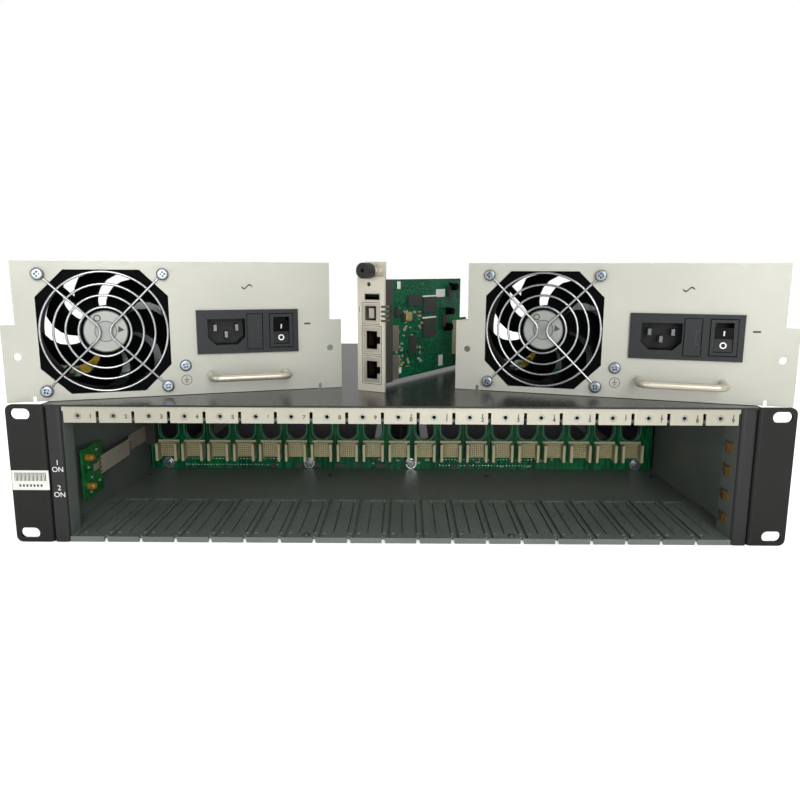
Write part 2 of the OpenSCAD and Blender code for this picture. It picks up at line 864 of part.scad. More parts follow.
// Sockets on the back of the backplane that the supplies plug into
module supply_docks() {
  y0 = backplane_y + backplane_t + seat;
  color("#23272B") in_case() for (s = [-1, 1]) translate([dock_x(s), 0, dock_z]) difference() {
    slab([-dock_w / 2, dock_w / 2], [y0, y0 + dock_d], [0, dock_h]);
    slab([dock_wall - dock_w / 2, dock_w / 2 - dock_wall], [y0 + dock_d - dock_pocket, y0 + dock_d + cut],
      [dock_wall, dock_h - dock_wall]);
  }
}

// Web and rear post between the two supply bays
module bay_divider() {
  z = [floor_top + seat, shell_h - seat];
  color("#35373A") in_case() difference() {
    union() {
      slab([-wall_t / 2, wall_t / 2], [bulkhead_y + bulkhead_t + seat, case_d], z);
      slab([-divider_face / 2, divider_face / 2], [case_d - wall_t, case_d], z);
    }
    both_sides() rod_y([bay_x - tab_hole_span / 2, case_d - wall_t - cut, bay_base_z + tab_hole_z], divider_hole_r,
      wall_t + 2 * cut);
  }
}

// Angles on the bay floor that guide each tray
module tray_guides() {
  y = [guide_rail_front, guide_rail_front + guide_rail_l];
  z0 = floor_top + seat;
  edge = tray_w / 2 + cut;
  color("#6B6E70") in_case() both_sides() translate([bay_x, 0, 0]) both_sides() {
    slab([edge, edge + guide_rail_t], y, [z0, z0 + guide_rail_h]);
    slab([edge - guide_rail_foot, edge + guide_rail_t], y, [z0, z0 + guide_rail_t]);
  }
}

module lamp_board() {
  x0 = lamp_board_gap - inner_x;
  color("#1E7A3C") in_case() {
    slab([x0, x0 + lamp_board_t], [lamp_board_y, lamp_board_y + lamp_board_l],
      [lamp_board_z, lamp_board_z + lamp_board_h]);
    for (s = [-1, 1]) rod_x([seat - inner_x, lamp_board_y + lamp_board_l - 2 * spacer_r,
      lamp_board_z + lamp_board_h / 2 + s * (lamp_board_h / 2 - 2 * spacer_r)], spacer_r, lamp_board_gap);
  }
}

module panel_lamps() {
  x0 = lamp_board_gap - inner_x + lamp_board_t + seat;
  color("#C9A45A") in_case() for (z = lamp_z) {
    rod_x([x0, lamp_y, z], lamp_r, lamp_l);
    translate([x0 + lamp_l, lamp_y, z]) sphere(lamp_r);
  }
}

// Flat cable from the lamp board, stepping back to the wall on its way to the header
module lamp_ribbon() {
  near = lamp_board_gap - inner_x + lamp_board_t + seat;
  far = ribbon_pad - inner_x;
  end = backplane_y - header_d - seat;
  step_end = ribbon_step + ribbon_step_l;
  color("#A9A294") in_case() translate([0, 0, ribbon_z]) linear_extrude(ribbon_w) polygon([
    [near, ribbon_start], [near + ribbon_t, ribbon_start], [near + ribbon_t, ribbon_step],
    [far + ribbon_t, step_end], [far + ribbon_t, end], [far, end], [far, step_end - ribbon_t],
    [near, ribbon_step - ribbon_t]]);
}

module ribbon_header() {
  x0 = seat - inner_x;
  color("#17191A") in_case()
    slab([x0, x0 + header_w], [backplane_y - header_d, backplane_y - seat], [header_z, header_z + header_h]);
}

// Copper fingers hooked through the right return, bowed inwards to touch a card's faceplate
module ground_fingers() {
  x1 = cage_half - seat;
  x2 = cage_half + wall_t + seat;
  y1 = finger_slot_y + finger_slot_w / 2;
  color("#A0683A") in_case() for (s = finger_z_shares)
    translate([0, 0, case_h * s - finger_h / 2]) linear_extrude(finger_h) polygon([
      [x1, finger_front_y], [x1 - finger_bow + finger_t, finger_bow_y],
      [x1 - finger_bow + finger_t, finger_bow_y + finger_t], [x1, y1 - finger_t / 2], [x2, y1 - finger_t / 2],
      [x2, y1 - finger_bow], [x2 + finger_t, y1 - finger_bow], [x2 + finger_t, y1 + finger_t / 2],
      [x1 - finger_t, y1 + finger_t / 2], [x1 - finger_bow, finger_bow_y + finger_t],
      [x1 - finger_bow, finger_bow_y], [x1 - finger_t, finger_front_y]]);
}

// Eight-sided opening in front of the fan
module fan_opening_outline() {
  h = fan_opening / 2;
  c = h - fan_chamfer;
  translate([fan_x, fan_z])
    polygon([[c, h], [-c, h], [-h, c], [-h, -c], [-c, -h], [c, -h], [h, -c], [h, c]]);
}

module fan_screw_points() {
  for (a = [-1, 1], b = [-1, 1])
    translate([fan_x + a * fan_screw_span / 2, 0, fan_z + b * fan_screw_span / 2]) children();
}

// Front plate folded into an open tray, with low side lips and pillars for the board
module supply_tray() {
  x = [tray_x, tray_x + tray_w];
  board_w = tray_w - 2 * supply_board_x;
  difference() {
    union() {
      run_back(0, plate_t) {
        square([plate_w, plate_h]);
        translate([-tab_w, 0]) square([plate_w + 2 * tab_w, tab_h]);
      }
      slab(x, [0, tray_d], [0, plate_t]);
      slab([x[0], x[0] + plate_t], [tray_lip_front, tray_d], [0, tray_lip]);
      slab([x[1] - plate_t, x[1]], [tray_lip_front, tray_d], [0, tray_lip]);
      for (u = [x[0] + supply_board_x + pillar_inset, x[1] - supply_board_x - pillar_inset],
           v = [supply_board_front + pillar_inset, tray_d - supply_board_rear - pillar_rear])
        translate([u, v, 0]) cylinder(r = pillar_r, h = supply_board_z - seat);
    }
    run_back(-cut, plate_t + 2 * cut) {
      fan_opening_outline();
      translate([inlet_x, inlet_z])
        square([inlet_body_w + 2 * seat, inlet_body_h + 2 * seat], center = true);
      for (s = [-1, 1]) translate([plate_w / 2 + s * tab_hole_span / 2, tab_hole_z]) circle(tab_hole_r);
      translate([earth_x, earth_z]) circle(screw_shank_r);
      for (s = [-1, 1]) translate([handle_x + s * (handle_l - handle_rod) / 2, handle_z])
        circle(handle_rod / 3);
    }
    for (u = [x[0] - relief_w, x[1]]) slab([u, u + relief_w], [-cut, plate_t + cut], [-cut, relief_h]);
    fan_screw_points() rod_y([0, -cut, 0], fan_hole_r, plate_t + 2 * cut);
  }
}

module supply_circuit_board() {
  x0 = tray_x + supply_board_x;
  slab([x0, x0 + tray_w - 2 * supply_board_x], [supply_board_front, tray_d - supply_board_rear],
    [supply_board_z, supply_top]);
}

function board_u(share) = tray_x + supply_board_x + share * (tray_w - 2 * supply_board_x);
function board_v(share) = supply_board_front + share * (tray_d - supply_board_rear - supply_board_front);

// Two finned uprights along the board
module supply_heat_sinks() {
  u = [for (s = sink_x_shares) board_u(s)];
  for (s = sink_y_shares) translate([0, board_v(s), supply_top + seat]) {
    slab(u, [-sink_t / 2, sink_t / 2], [0, sink_h]);
    for (i = [0 : sink_fin_count - 1]) translate([u[0] + (u[1] - u[0] - sink_fin_t) * i / (sink_fin_count - 1), 0, 0])
      slab([0, sink_fin_t], [-sink_fin, sink_fin], [sink_h / 3, sink_h]);
  }
}

// Transformer: a three-legged core with a taped winding, and a ring choke beside it
module supply_transformer() {
  translate([board_u(core_x_share), board_v(core_y_share), supply_top + seat]) {
    slab([-core_w / 2, core_w / 2], [-core_d / 3, core_d / 3], [0, core_yoke / 2]);
    slab([-core_w / 2, core_w / 2], [-core_d / 3, core_d / 3], [core_h - core_yoke / 2, core_h]);
    both_sides() slab([core_w / 2 - core_yoke / 2, core_w / 2], [-core_d / 3, core_d / 3], [0, core_h]);
    slab([core_yoke - core_w / 2, core_w / 2 - core_yoke], [-core_d / 2, core_d / 2],
      [core_yoke / 2, core_h - core_yoke / 2]);
  }
  translate([board_u(choke_x_share), board_v(choke_y_share), supply_top + seat + choke_r + choke_wire])
    rotate([90, 0, 0]) rotate_extrude() translate([choke_r, 0]) circle(choke_wire);
}

module supply_capacitors() {
  for (s = cap_x_shares) translate([board_u(s), board_v(cap_y_share), supply_top + seat])
    cylinder(r = bulk_cap_r, h = bulk_cap_h);
  for (s = small_cap_x_shares) translate([board_u(s), board_v(small_cap_y_share), supply_top + seat])
    cylinder(r = small_cap_r, h = small_cap_h);
}

// Plug at the rear of the tray that meets the dock in the bay
module supply_output_plug() {
  slab([plug_x - plug_w / 2, plug_x + plug_w / 2],
    [tray_d + plug_reach - plug_d, tray_d + plug_reach], [plug_z, plug_z + plug_h]);
}

// Fan housing: two flanges and a duct, with a motor plate carried by struts
module supply_fan_frame() {
  translate([fan_x, plate_t + seat, fan_z]) difference() {
    union() {
      difference() {
        run_back(0, fan_d) round_plate(fan_size, fan_size, fan_corner_r);
        rod_y([0, -cut, 0], fan_bore_r, fan_d + 2 * cut);
        for (a = [-1, 1], b = [-1, 1])
          slab([a * fan_size / 2 - fan_body_cut, a * fan_size / 2 + fan_body_cut],
            [fan_flange, fan_d - fan_flange],
            [b * fan_size / 2 - fan_body_cut, b * fan_size / 2 + fan_body_cut]);
      }
      rod_y([0, fan_d - motor_l, 0], motor_r, motor_l);
      rod_y([0, hub_start + hub_l - bearing_l + run, 0], bearing_r, fan_d - hub_start - hub_l + bearing_l - run);
      for (i = [0 : strut_count - 1]) rotate([0, 45 + 360 / strut_count * i, 0])
        slab([motor_r - cut, fan_bore_r + cut], [fan_d - motor_l, fan_d], [-strut_w / 2, strut_w / 2]);
    }
    for (a = [-1, 1], b = [-1, 1])
      rod_y([a * fan_screw_span / 2, -cut, b * fan_screw_span / 2], fan_hole_r, fan_d + 2 * cut);
  }
}

// Outline of one swept blade from the hub to the tip
module blade_outline() {
  r0 = hub_r - blade_t;
  r1 = fan_bore_r - blade_gap;
  function edge(s, side) = let (r = r0 + (r1 - r0) * s, a = blade_sweep * s * s)
    r * [cos(a), sin(a)] + side * blade_t / 2 * [-sin(a), cos(a)];
  polygon(concat([for (i = [0 : blade_steps]) edge(i / blade_steps, -1)],
    [for (i = [blade_steps : -1 : 0]) edge(i / blade_steps, 1)]));
}

module supply_fan_rotor() {
  y0 = plate_t + seat + hub_start;
  translate([fan_x, y0, fan_z]) {
    difference() {
      rod_y([0, 0, 0], hub_r, hub_l);
      rod_y([0, hub_l - bearing_l, 0], bearing_r + bearing_gap, bearing_l + cut);
      rod_y([0, -cut, 0], hub_r - 2 * hub_dish, cut + hub_dish / 2);
    }
    rotate([-90, 0, 0]) translate([0, 0, blade_start - hub_start]) for (i = [0 : blade_count - 1])
      rotate(360 / blade_count * i)
        linear_extrude(blade_l, twist = blade_twist, slices = blade_slices, segments = 2 * blade_steps)
          blade_outline();
  }
}

// One bent cross wire: two legs on the diagonals, joined by a bend beside the middle
module cross_wire() {
  reach = fan_screw_span / 2 - eye_r * cos(45);
  side = cross_bend_r * sqrt(2);
  start = (cross_bend_r - bend_lap) / sqrt(2);
  leg = (reach - start) * sqrt(2);
  translate([side, 0, 0]) rotate(135) rotate_extrude(angle = 90)
    translate([cross_bend_r, 0]) circle(guard_wire / 2 + seat / 2);
  for (s = [-1, 1]) {
    translate([start, s * start, 0]) rotate([0, 90, s * 45]) cylinder(r = guard_wire / 2, h = leg);
    translate([fan_screw_span / 2, s * fan_screw_span / 2, 0]) rotate_extrude()
      translate([eye_r, 0]) circle(guard_wire / 2 + seat);
  }
}

// Wire guard: four rings with the two bent cross wires welded over them
module supply_fan_guard() {
  translate([fan_x, -guard_off - guard_wire / 2, fan_z]) rotate([-90, 0, 0]) {
    for (s = [0, 1]) rotate(180 * s) cross_wire();
    translate([0, 0, guard_wire - guard_sink]) for (s = ring_r_shares)
      rotate_extrude() translate([ring_max_r * s, 0]) circle(guard_wire / 2);
  }
}

module supply_plate_screws() {
  fan_screw_points() translate([0, -guard_off - guard_wire - 2 * seat, 0])
    pan_screw(fan_screw_r, fan_screw_h, screw_shank_r, 2 * shank_l);
  translate([earth_x, -seat, earth_z]) pan_screw(fan_screw_r, fan_screw_h, screw_shank_r - seat, shank_l);
}

// Outline of the mains socket, cornered off on its earth side
module socket_outline() {
  w = socket_w / 2;
  h = socket_h / 2;
  translate([socket_x, 0])
    polygon([[-w, h], [-w, socket_chamfer - h], [socket_chamfer - w, -h], [w - socket_chamfer, -h],
      [w, socket_chamfer - h], [w, h]]);
}

// Mains inlet, fuse well and switch well in one moulded housing
module supply_inlet() {
  translate([inlet_x, 0, inlet_z]) difference() {
    union() {
      slab([-inlet_w / 2, inlet_w / 2], [-inlet_flange, -seat], [-inlet_h / 2, inlet_h / 2]);
      slab([-inlet_body_w / 2, inlet_body_w / 2], [-inlet_flange, inlet_body_d], [-inlet_body_h / 2, inlet_body_h / 2]);
      translate([rocker_x, 0, rocker_z]) slab([-rocker_w / 2 - bezel_w, rocker_w / 2 + bezel_w],
        [-inlet_flange - bezel_t, 0], [-rocker_h / 2 - bezel_w, rocker_h / 2 + bezel_w]);
    }
    run_back(-inlet_flange - cut, socket_d + cut) socket_outline();
    slab([fuse_x - fuse_w / 2 - run, fuse_x + fuse_w / 2 + run], [-inlet_flange - cut, -inlet_flange + fuse_front],
      [-fuse_h / 2 - run, fuse_h / 2 + run]);
    slab([fuse_x - fuse_body_w / 2 - run, fuse_x + fuse_body_w / 2 + run],
      [-inlet_flange - cut, fuse_d + cut - inlet_flange], [-fuse_body_h / 2 - run, fuse_body_h / 2 + run]);
    translate([rocker_x, -inlet_flange, rocker_z]) {
      slab([-rocker_w / 2 - run, rocker_w / 2 + run], [-bezel_t - cut, rocker_well],
        [-rocker_h / 2 - rocker_sweep, rocker_h / 2 + rocker_sweep]);
      rod_x([-rocker_w / 2 - rocker_pin_l - run, rocker_body, 0], rocker_pin_r + rocker_pin_gap,
        rocker_w + 2 * rocker_pin_l + 2 * run);
    }
  }
}

module supply_inlet_pins() {
  v = [socket_d - inlet_flange - pin_l, socket_d - inlet_flange - seat];
  translate([inlet_x + socket_x, 0, inlet_z]) for (p = [[-pin_x, pin_z], [pin_x, pin_z], [0, earth_pin_z]])
    slab([p[0] - blade_pin_w / 2, p[0] + blade_pin_w / 2], v, [p[1] - blade_pin_h / 2, p[1] + blade_pin_h / 2]);
}

// Fuse holder that pulls straight out
module supply_fuse_drawer() {
  translate([inlet_x + fuse_x, 0, inlet_z]) difference() {
    union() {
      slab([-fuse_w / 2, fuse_w / 2], [-inlet_flange - fuse_front / 2, fuse_front - inlet_flange - seat],
        [-fuse_h / 2, fuse_h / 2]);
      slab([-fuse_body_w / 2, fuse_body_w / 2], [-inlet_flange, fuse_d - inlet_flange],
        [-fuse_body_h / 2, fuse_body_h / 2]);
    }
    slab([fuse_w / 2 - fuse_grip_w, fuse_w], [-inlet_flange - fuse_front - cut, -inlet_flange - seat],
      [-fuse_grip_h / 2, fuse_grip_h / 2]);
  }
}

// Rocker on two trunnions, its lower end pressed in
module supply_rocker() {
  h = rocker_h / 2;
  translate([inlet_x + rocker_x, rocker_body - inlet_flange, inlet_z + rocker_z])
    rotate([rocker_tilt, 0, 0]) {
      translate([-rocker_w / 2, 0, 0]) rotate([90, 0, 90]) linear_extrude(rocker_w) polygon(concat(
        [[-rocker_body - rocker_proud / 2, -h], [-rocker_body + rocker_proud / 2, 0], [-rocker_body - rocker_proud / 2, h]],
        arc([0, 0], rocker_body / 2, 90, -90)));
      rod_x([-rocker_w / 2 - rocker_pin_l, 0, 0], rocker_pin_r, rocker_w + 2 * rocker_pin_l);
    }
}

// Bent rod with both ends seated in the plate
module supply_handle() {
  half = (handle_l - handle_rod) / 2;
  translate([handle_x, 0, handle_z]) {
    rotate([0, 90, 0]) translate([0, -handle_reach, bend_in() - half])
      cylinder(r = handle_rod / 2, h = 2 * (half - bend_in()));
    for (s = [-1, 1]) {
      rod_y([s * half, bend_in() - handle_reach, 0], handle_rod / 2, handle_reach - bend_in() - seat);
      rod_y([s * half, -seat - cut, 0], handle_rod / 3 - seat, plate_t + 2 * cut);
      translate([s * (half - bend_in()), bend_in() - handle_reach, 0]) rotate(s > 0 ? -90 : 180)
        rotate_extrude(angle = 90) translate([handle_bend_r, 0]) circle(handle_rod / 2);
    }
  }
}
function bend_in() = handle_bend_r;

module left_tray() { color("#CFCBBF") in_supply(true) supply_tray(); }
module left_circuit_board() { color("#1E5C34") in_supply(true) supply_circuit_board(); }
module left_heat_sinks() { color("#3C3E40") in_supply(true) supply_heat_sinks(); }
module left_transformer() { color("#C9A722") in_supply(true) supply_transformer(); }
module left_capacitors() { color("#22262E") in_supply(true) supply_capacitors(); }
module left_output_plug() { color("#1B1C1E") in_supply(true) supply_output_plug(); }
module left_fan_frame() { color("#17181A") in_supply(true) supply_fan_frame(); }
module left_fan_rotor() { color("#1C1D20") in_supply(true) supply_fan_rotor(); }
module left_fan_guard() { color("#C8CBCE") in_supply(true) supply_fan_guard(); }
module left_plate_screws() { color("#AEB6BE") in_supply(true) supply_plate_screws(); }
module left_inlet() { color("#3E4246") in_supply(true) supply_inlet(); }
module left_inlet_pins() { color("#C8CBCE") in_supply(true) supply_inlet_pins(); }
module left_fuse_drawer() { color("#3A3E42") in_supply(true) supply_fuse_drawer(); }
module left_rocker() { color("#202327") in_supply(true) supply_rocker(); }
module left_handle() { color("#BFBDB4") in_supply(true) supply_handle(); }

module right_tray() { color("#CFCBBF") in_supply(false) supply_tray(); }
module right_circuit_board() { color("#1E5C34") in_supply(false) supply_circuit_board(); }
module right_heat_sinks() { color("#3C3E40") in_supply(false) supply_heat_sinks(); }
module right_transformer() { color("#C9A722") in_supply(false) supply_transformer(); }
module right_capacitors() { color("#22262E") in_supply(false) supply_capacitors(); }
module right_output_plug() { color("#1B1C1E") in_supply(false) supply_output_plug(); }
module right_fan_frame() { color("#17181A") in_supply(false) supply_fan_frame(); }
module right_fan_rotor() { color("#1C1D20") in_supply(false) supply_fan_rotor(); }
module right_fan_guard() { color("#C8CBCE") in_supply(false) supply_fan_guard(); }
module right_plate_screws() { color("#AEB6BE") in_supply(false) supply_plate_screws(); }
module right_inlet() { color("#3E4246") in_supply(false) supply_inlet(); }
module right_inlet_pins() { color("#C8CBCE") in_supply(false) supply_inlet_pins(); }
module right_fuse_drawer() { color("#3A3E42") in_supply(false) supply_fuse_drawer(); }
module right_rocker() { color("#202327") in_supply(false) supply_rocker(); }
module right_handle() { color("#BFBDB4") in_supply(false) supply_handle(); }

// Faceplate with port openings, a vented flange on its right and a set-back screw tab on top
module card_faceplate() {
  side = [face_w - face_t, face_w];
  tab = [tab_side, face_w - tab_side];
  color("#DDD8C6") in_card() difference() {
    union() {
      slab([0, face_w], [0, face_t], [0, face_h]);
      slab(side, [0, flange_d], [flange_low, face_h - face_t]);
      slab(tab, [0, tab_drop + face_t], [face_h - face_t, face_h]);
      slab(tab, [tab_drop, tab_drop + face_t], [face_h - face_t, tab_top]);
    }
    run_back(-cut, face_t + 2 * cut) {
      translate([usb_a[0], usb_a[1]]) square([usb_a[2], usb_a[3]]);
      translate([usb_b[0], usb_b[1]]) square([usb_b[2], usb_b[3]]);
      for (z = jack_z) translate([jack_x, z]) square([jack_w, jack_h]);
      translate(status_hole) circle(status_hole_r);
      translate([reset_hole[0] - reset_hole_w / 2, reset_hole[1] - reset_hole_h / 2])
        square([reset_hole_w, reset_hole_h]);
    }
    for (i = [0 : vent_count - 1]) translate([0, 0, vent_z - i * vent_pitch])
      slab([face_w - vent_w, face_w + cut], [-cut, vent_d], [-vent_h / 2, vent_h / 2]);
    rod_y([knob_axis[0], tab_drop - cut, knob_axis[1]], ferrule_r / 2 + tip_gap, face_t + 2 * cut);
  }
}

module card_board() {
  color("#0F6B45") in_card() {
    slab([board_x, board_face], [board_front, board_l], [board_z, board_z + board_h]);
    slab([board_x, board_face], [board_front, board_l + board_tail], [board_z, board_z + board_tail_h]);
  }
}

// Integrated circuits on the right face of the board
module card_chips() {
  x0 = board_face + seat;
  color("#26282A") in_card() {
    for (i = [0 : len(chip_corners) - 1]) let (p = chip_corners[i], s = chip_sizes[i])
      slab([x0, x0 + chip_rise], [p[0], p[0] + s[0]], [p[1], p[1] + s[1]]);
    for (c = small_chips) slab([x0, x0 + chip_rise], [c[0], c[0] + c[2]], [c[1], c[1] + c[3]]);
  }
}

// One port body behind the faceplate, from a corner and a size
module port_body(p, l) {
  slab([p[0] + seat, p[0] + p[2] - seat], [0, l], [p[1] + seat, p[1] + p[3] - seat]);
}

// USB sockets and network jacks in a column, soldered to the board's right face
module card_ports() {
  a = usb_a;
  b = usb_b;
  color("#B9B7A8") in_card() {
    slab([board_face + seat, a[0] + cut], [board_front, usb_l], [a[1] + seat, a[1] + a[3] - seat]);
    difference() {
      port_body(a, usb_l);
      slab([a[0] + usb_wall, a[0] + a[2] - usb_wall], [-cut, usb_pocket], [a[1] + usb_wall, a[1] + a[3] - usb_wall]);
    }
    slab([a[0] + 2 * usb_wall, a[0] + a[2] - 2 * usb_wall], [cut, usb_l],
      [a[1] + a[3] - usb_wall - usb_tongue_h, a[1] + a[3] - usb_wall - seat]);
    difference() {
      port_body(b, usb_l);
      slab([b[0] + 2 * usb_wall, b[0] + b[2] - 2 * usb_wall], [-cut, usb_pocket],
        [b[1] + 2 * usb_wall, b[1] + b[3] - 2 * usb_wall]);
    }
    slab([b[0] + (b[2] - tongue_b_w) / 2, b[0] + (b[2] + tongue_b_w) / 2], [cut, usb_l],
      [b[1] + (b[3] - tongue_b_h) / 2, b[1] + (b[3] + tongue_b_h) / 2]);
    for (z = jack_z) difference() {
      port_body([jack_x, z, jack_w, jack_h], jack_l);
      translate([jack_x + jack_hole_x, 0, z + jack_h / 2]) {
        slab([0, jack_hole_w], [-cut, jack_pocket], [-jack_hole_h / 2, jack_hole_h / 2]);
        slab([0, jack_hole_w + jack_latch_w], [-cut, jack_pocket], [-jack_latch_h / 2, jack_latch_h / 2]);
      }
    }
  }
}

// Rear connector: a body on the board and a socket that fits round a slot connector's block
module card_rear_plug() {
  mid = face_w / 2 - slot_offset;
  low = connector_z - card_base_z;
  v = board_l + board_tail;
  w = connector_w / 2 - connector_leg - run;
  h = connector_h / 2 - run;
  block_w = w - contact_block_gap + 2 * run;
  block_h = contact_block_h / 2 + run;
  color("#C2B98F") in_card() {
    slab([board_face + seat, board_face + rear_body_w], [v - rear_body_d, v], [low, low + rear_body_h]);
    translate([mid, v, low + connector_h / 2]) difference() {
      slab([-w, w], [seat, rear_plug_l], [-h, h]);
      slab([-block_w, block_w], [rear_plug_l - connector_pocket, rear_plug_l + cut], [-block_h, block_h]);
    }
    slab([board_face + seat, board_face + rear_body_w], [v - cut, v + cut], [low + connector_wall + run,
      low + connector_h - connector_wall - run]);
  }
}

// Knurled captive screw in a ferrule
module card_thumbscrew() {
  y1 = tab_drop - run;
  y0 = -run - knob_l;
  color("#2A2B2D") in_card() translate([knob_axis[0], 0, knob_axis[1]]) {
    difference() {
      rod_y([0, y0, 0], knob_r, knob_l);
      for (i = [0 : knob_ribs - 1]) rotate([0, 360 / knob_ribs * i, 0])
        slab([knob_r - rib_w / 2, knob_r + cut], [y0 - cut, y0 + knob_l - rib_w], [-rib_w / 2, rib_w / 2]);
      translate([0, y0 - cut, 0]) rotate([-90, 0, 0]) cylinder(r = socket_hex_r, h = socket_hex_d + cut, $fn = 6);
    }
    rod_y([0, -run, 0], ferrule_r, tab_drop);
    rod_y([0, y1, 0], ferrule_r / 2, face_t + 2 * run);
    rod_y([0, y1, 0], screw_tip_r, screw_tip_l);
  }
}

// Recessed push button behind the faceplate's small slot
module card_reset_button() {
  color("#16171A") in_card() slab([reset_hole[0] - reset_hole_w / 2 + seat, reset_hole[0] + reset_hole_w / 2 - seat],
    [face_t + reset_travel_gap, face_t + reset_travel_gap + reset_body],
    [reset_hole[1] - reset_hole_h / 2 + seat, reset_hole[1] + reset_hole_h / 2 - seat]);
}

chassis_base();
top_cover();
card_guide_floor();
card_guide_top();
front_rail();
rack_ear_left();
rack_ear_right();
ear_screws();
cover_screws();
floor_rivets();
backplane_board();
slot_connectors();
backplane_screws();
backplane_chips();
rear_bulkhead();
supply_docks();
bay_divider();
tray_guides();
lamp_board();
panel_lamps();
lamp_ribbon();
ribbon_header();
ground_fingers();
left_tray();
left_circuit_board();
left_heat_sinks();
left_transformer();
left_capacitors();
left_output_plug();
left_fan_frame();
left_fan_rotor();
left_fan_guard();
left_plate_screws();
left_inlet();
left_inlet_pins();
left_fuse_drawer();
left_rocker();
left_handle();
right_tray();
right_circuit_board();
right_heat_sinks();
right_transformer();
right_capacitors();
right_output_plug();
right_fan_frame();
right_fan_rotor();
right_fan_guard();
right_plate_screws();
right_inlet();
right_inlet_pins();
right_fuse_drawer();
right_rocker();
right_handle();
card_faceplate();
card_board();
card_chips();
card_ports();
card_rear_plug();
card_thumbscrew();
card_reset_button();
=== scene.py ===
# %% [markdown]
# # A rack chassis for slide-in network cards
# The object is a 2U steel case with an open cage of 19 card slots. Two power supplies and one card, which
# belong in it, stand on its cover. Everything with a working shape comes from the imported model, so this
# script adds what only a camera sees: finishes, prints, screw recesses, contacts and small parts.

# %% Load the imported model
import json
import math
import random

import bpy
from mathutils import Matrix, Vector


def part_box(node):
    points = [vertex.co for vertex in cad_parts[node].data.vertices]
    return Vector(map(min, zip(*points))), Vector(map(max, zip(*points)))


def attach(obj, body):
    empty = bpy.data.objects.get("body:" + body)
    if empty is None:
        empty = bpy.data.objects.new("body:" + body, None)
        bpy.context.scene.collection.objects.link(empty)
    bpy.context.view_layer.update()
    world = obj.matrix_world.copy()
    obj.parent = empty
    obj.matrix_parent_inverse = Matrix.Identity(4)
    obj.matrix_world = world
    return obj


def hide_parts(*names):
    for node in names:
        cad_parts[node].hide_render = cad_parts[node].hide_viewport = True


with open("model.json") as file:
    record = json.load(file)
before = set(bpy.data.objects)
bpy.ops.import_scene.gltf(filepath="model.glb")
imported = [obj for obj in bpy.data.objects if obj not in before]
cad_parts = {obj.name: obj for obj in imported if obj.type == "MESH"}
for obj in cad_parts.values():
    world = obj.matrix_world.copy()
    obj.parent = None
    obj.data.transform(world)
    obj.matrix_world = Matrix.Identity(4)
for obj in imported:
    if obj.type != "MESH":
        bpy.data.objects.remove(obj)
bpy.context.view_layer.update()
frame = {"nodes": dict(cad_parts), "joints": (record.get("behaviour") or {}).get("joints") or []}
MM = 0.001
UP = Vector((0, 0, 1))

# %% [markdown]
# ## Where the modules stand
# Each supply and the card is turned on the cover. A joint's axis tells how, and its place tells where, so a
# local frame is built from the joints: u runs along the front plate, v into the module and w up.

# %% Local frames of the modules
JOINTS = {j["name"]: j for j in frame["joints"]}
FAN_CENTRE = Vector((50.7, 12, 42.3)) * MM
KNOB_PLACE = Vector((9.6, 5, 80.7)) * MM


def module_frame(joint, inward, local):
    """The matrix from u, v, w to the shared frame, for a module whose joint sits at a local place"""
    u = inward.cross(UP).normalized()
    turn = Matrix((u, inward, UP)).transposed()
    return Matrix.Translation(Vector(joint["pos_m"]) - turn @ local) @ turn.to_4x4()


SUPPLY = {}
for side in ("left", "right"):
    spin = JOINTS[side + "_fan_spin"]
    SUPPLY[side] = module_frame(spin, Vector(spin["axis"]), FAN_CENTRE)
knob = JOINTS["card_screw_turn"]
CARD = module_frame(knob, Vector(knob["axis"]), KNOB_PLACE)
CASE = Matrix.Identity(4)
TURNS = {name: place.to_euler().z for name, place in (*SUPPLY.items(), ("card", CARD), ("case", CASE))}
print("turned by", {name: round(math.degrees(turn), 1) for name, turn in TURNS.items()})

# %% [markdown]
# ## Camera and stage
# The photographer stood 0.42 m in front of the rack's face and 8 cm above its cover. The lens was worked out
# from the outlines of the ears and modules. The floor is plain white, and only the camera sees it lifted to
# full white, so that the object is not lit more than it should be. The room behind the camera is dimmer than
# the sky over the table, so bright metal that faces the camera keeps a shade of its own.

# %% Camera
CAMERA_PLACE = Vector((2.0, -612.5, 168.4)) * MM
PITCH, YAW, ROLL = 0.1792, 0.0052, 0.0036
FOCAL_PIXELS, PHOTO_PIXELS, SENSOR = 707.4, 800, 36
NEAREST = 0.01
camera = bpy.data.objects.new("camera", bpy.data.cameras.new("camera"))
bpy.context.scene.collection.objects.link(camera)
camera.data.sensor_width = SENSOR
camera.data.lens = FOCAL_PIXELS / PHOTO_PIXELS * SENSOR
camera.data.clip_start = NEAREST
looking = Matrix.Rotation(YAW, 4, "Z") @ Matrix.Rotation(math.pi / 2 - PITCH, 4, "X")
camera.matrix_world = Matrix.Translation(CAMERA_PLACE) @ looking @ Matrix.Rotation(ROLL, 4, "Z")
bpy.context.scene.camera = camera
bpy.context.scene.view_settings.view_transform = "Standard"
print("lens", round(camera.data.lens, 2), "mm")

# %% Colours and nodes


def linear(code):
    """The linear numbers of an sRGB hex colour"""
    parts = [int(code[i:i + 2], 16) / 255 for i in (1, 3, 5)]
    return [p / 12.92 if p <= 0.04045 else ((p + 0.055) / 1.055) ** 2.4 for p in parts] + [1]


def add(tree, kind, sockets=None, **settings):
    """Adds a node with its settings, and links or sets its sockets"""
    node = tree.nodes.new("ShaderNode" + kind)
    for name, value in settings.items():
        setattr(node, name, value)
    for socket, value in (sockets or {}).items():
        if isinstance(value, bpy.types.NodeSocket):
            tree.links.new(value, node.inputs[socket])
        else:
            node.inputs[socket].default_value = value
    return node


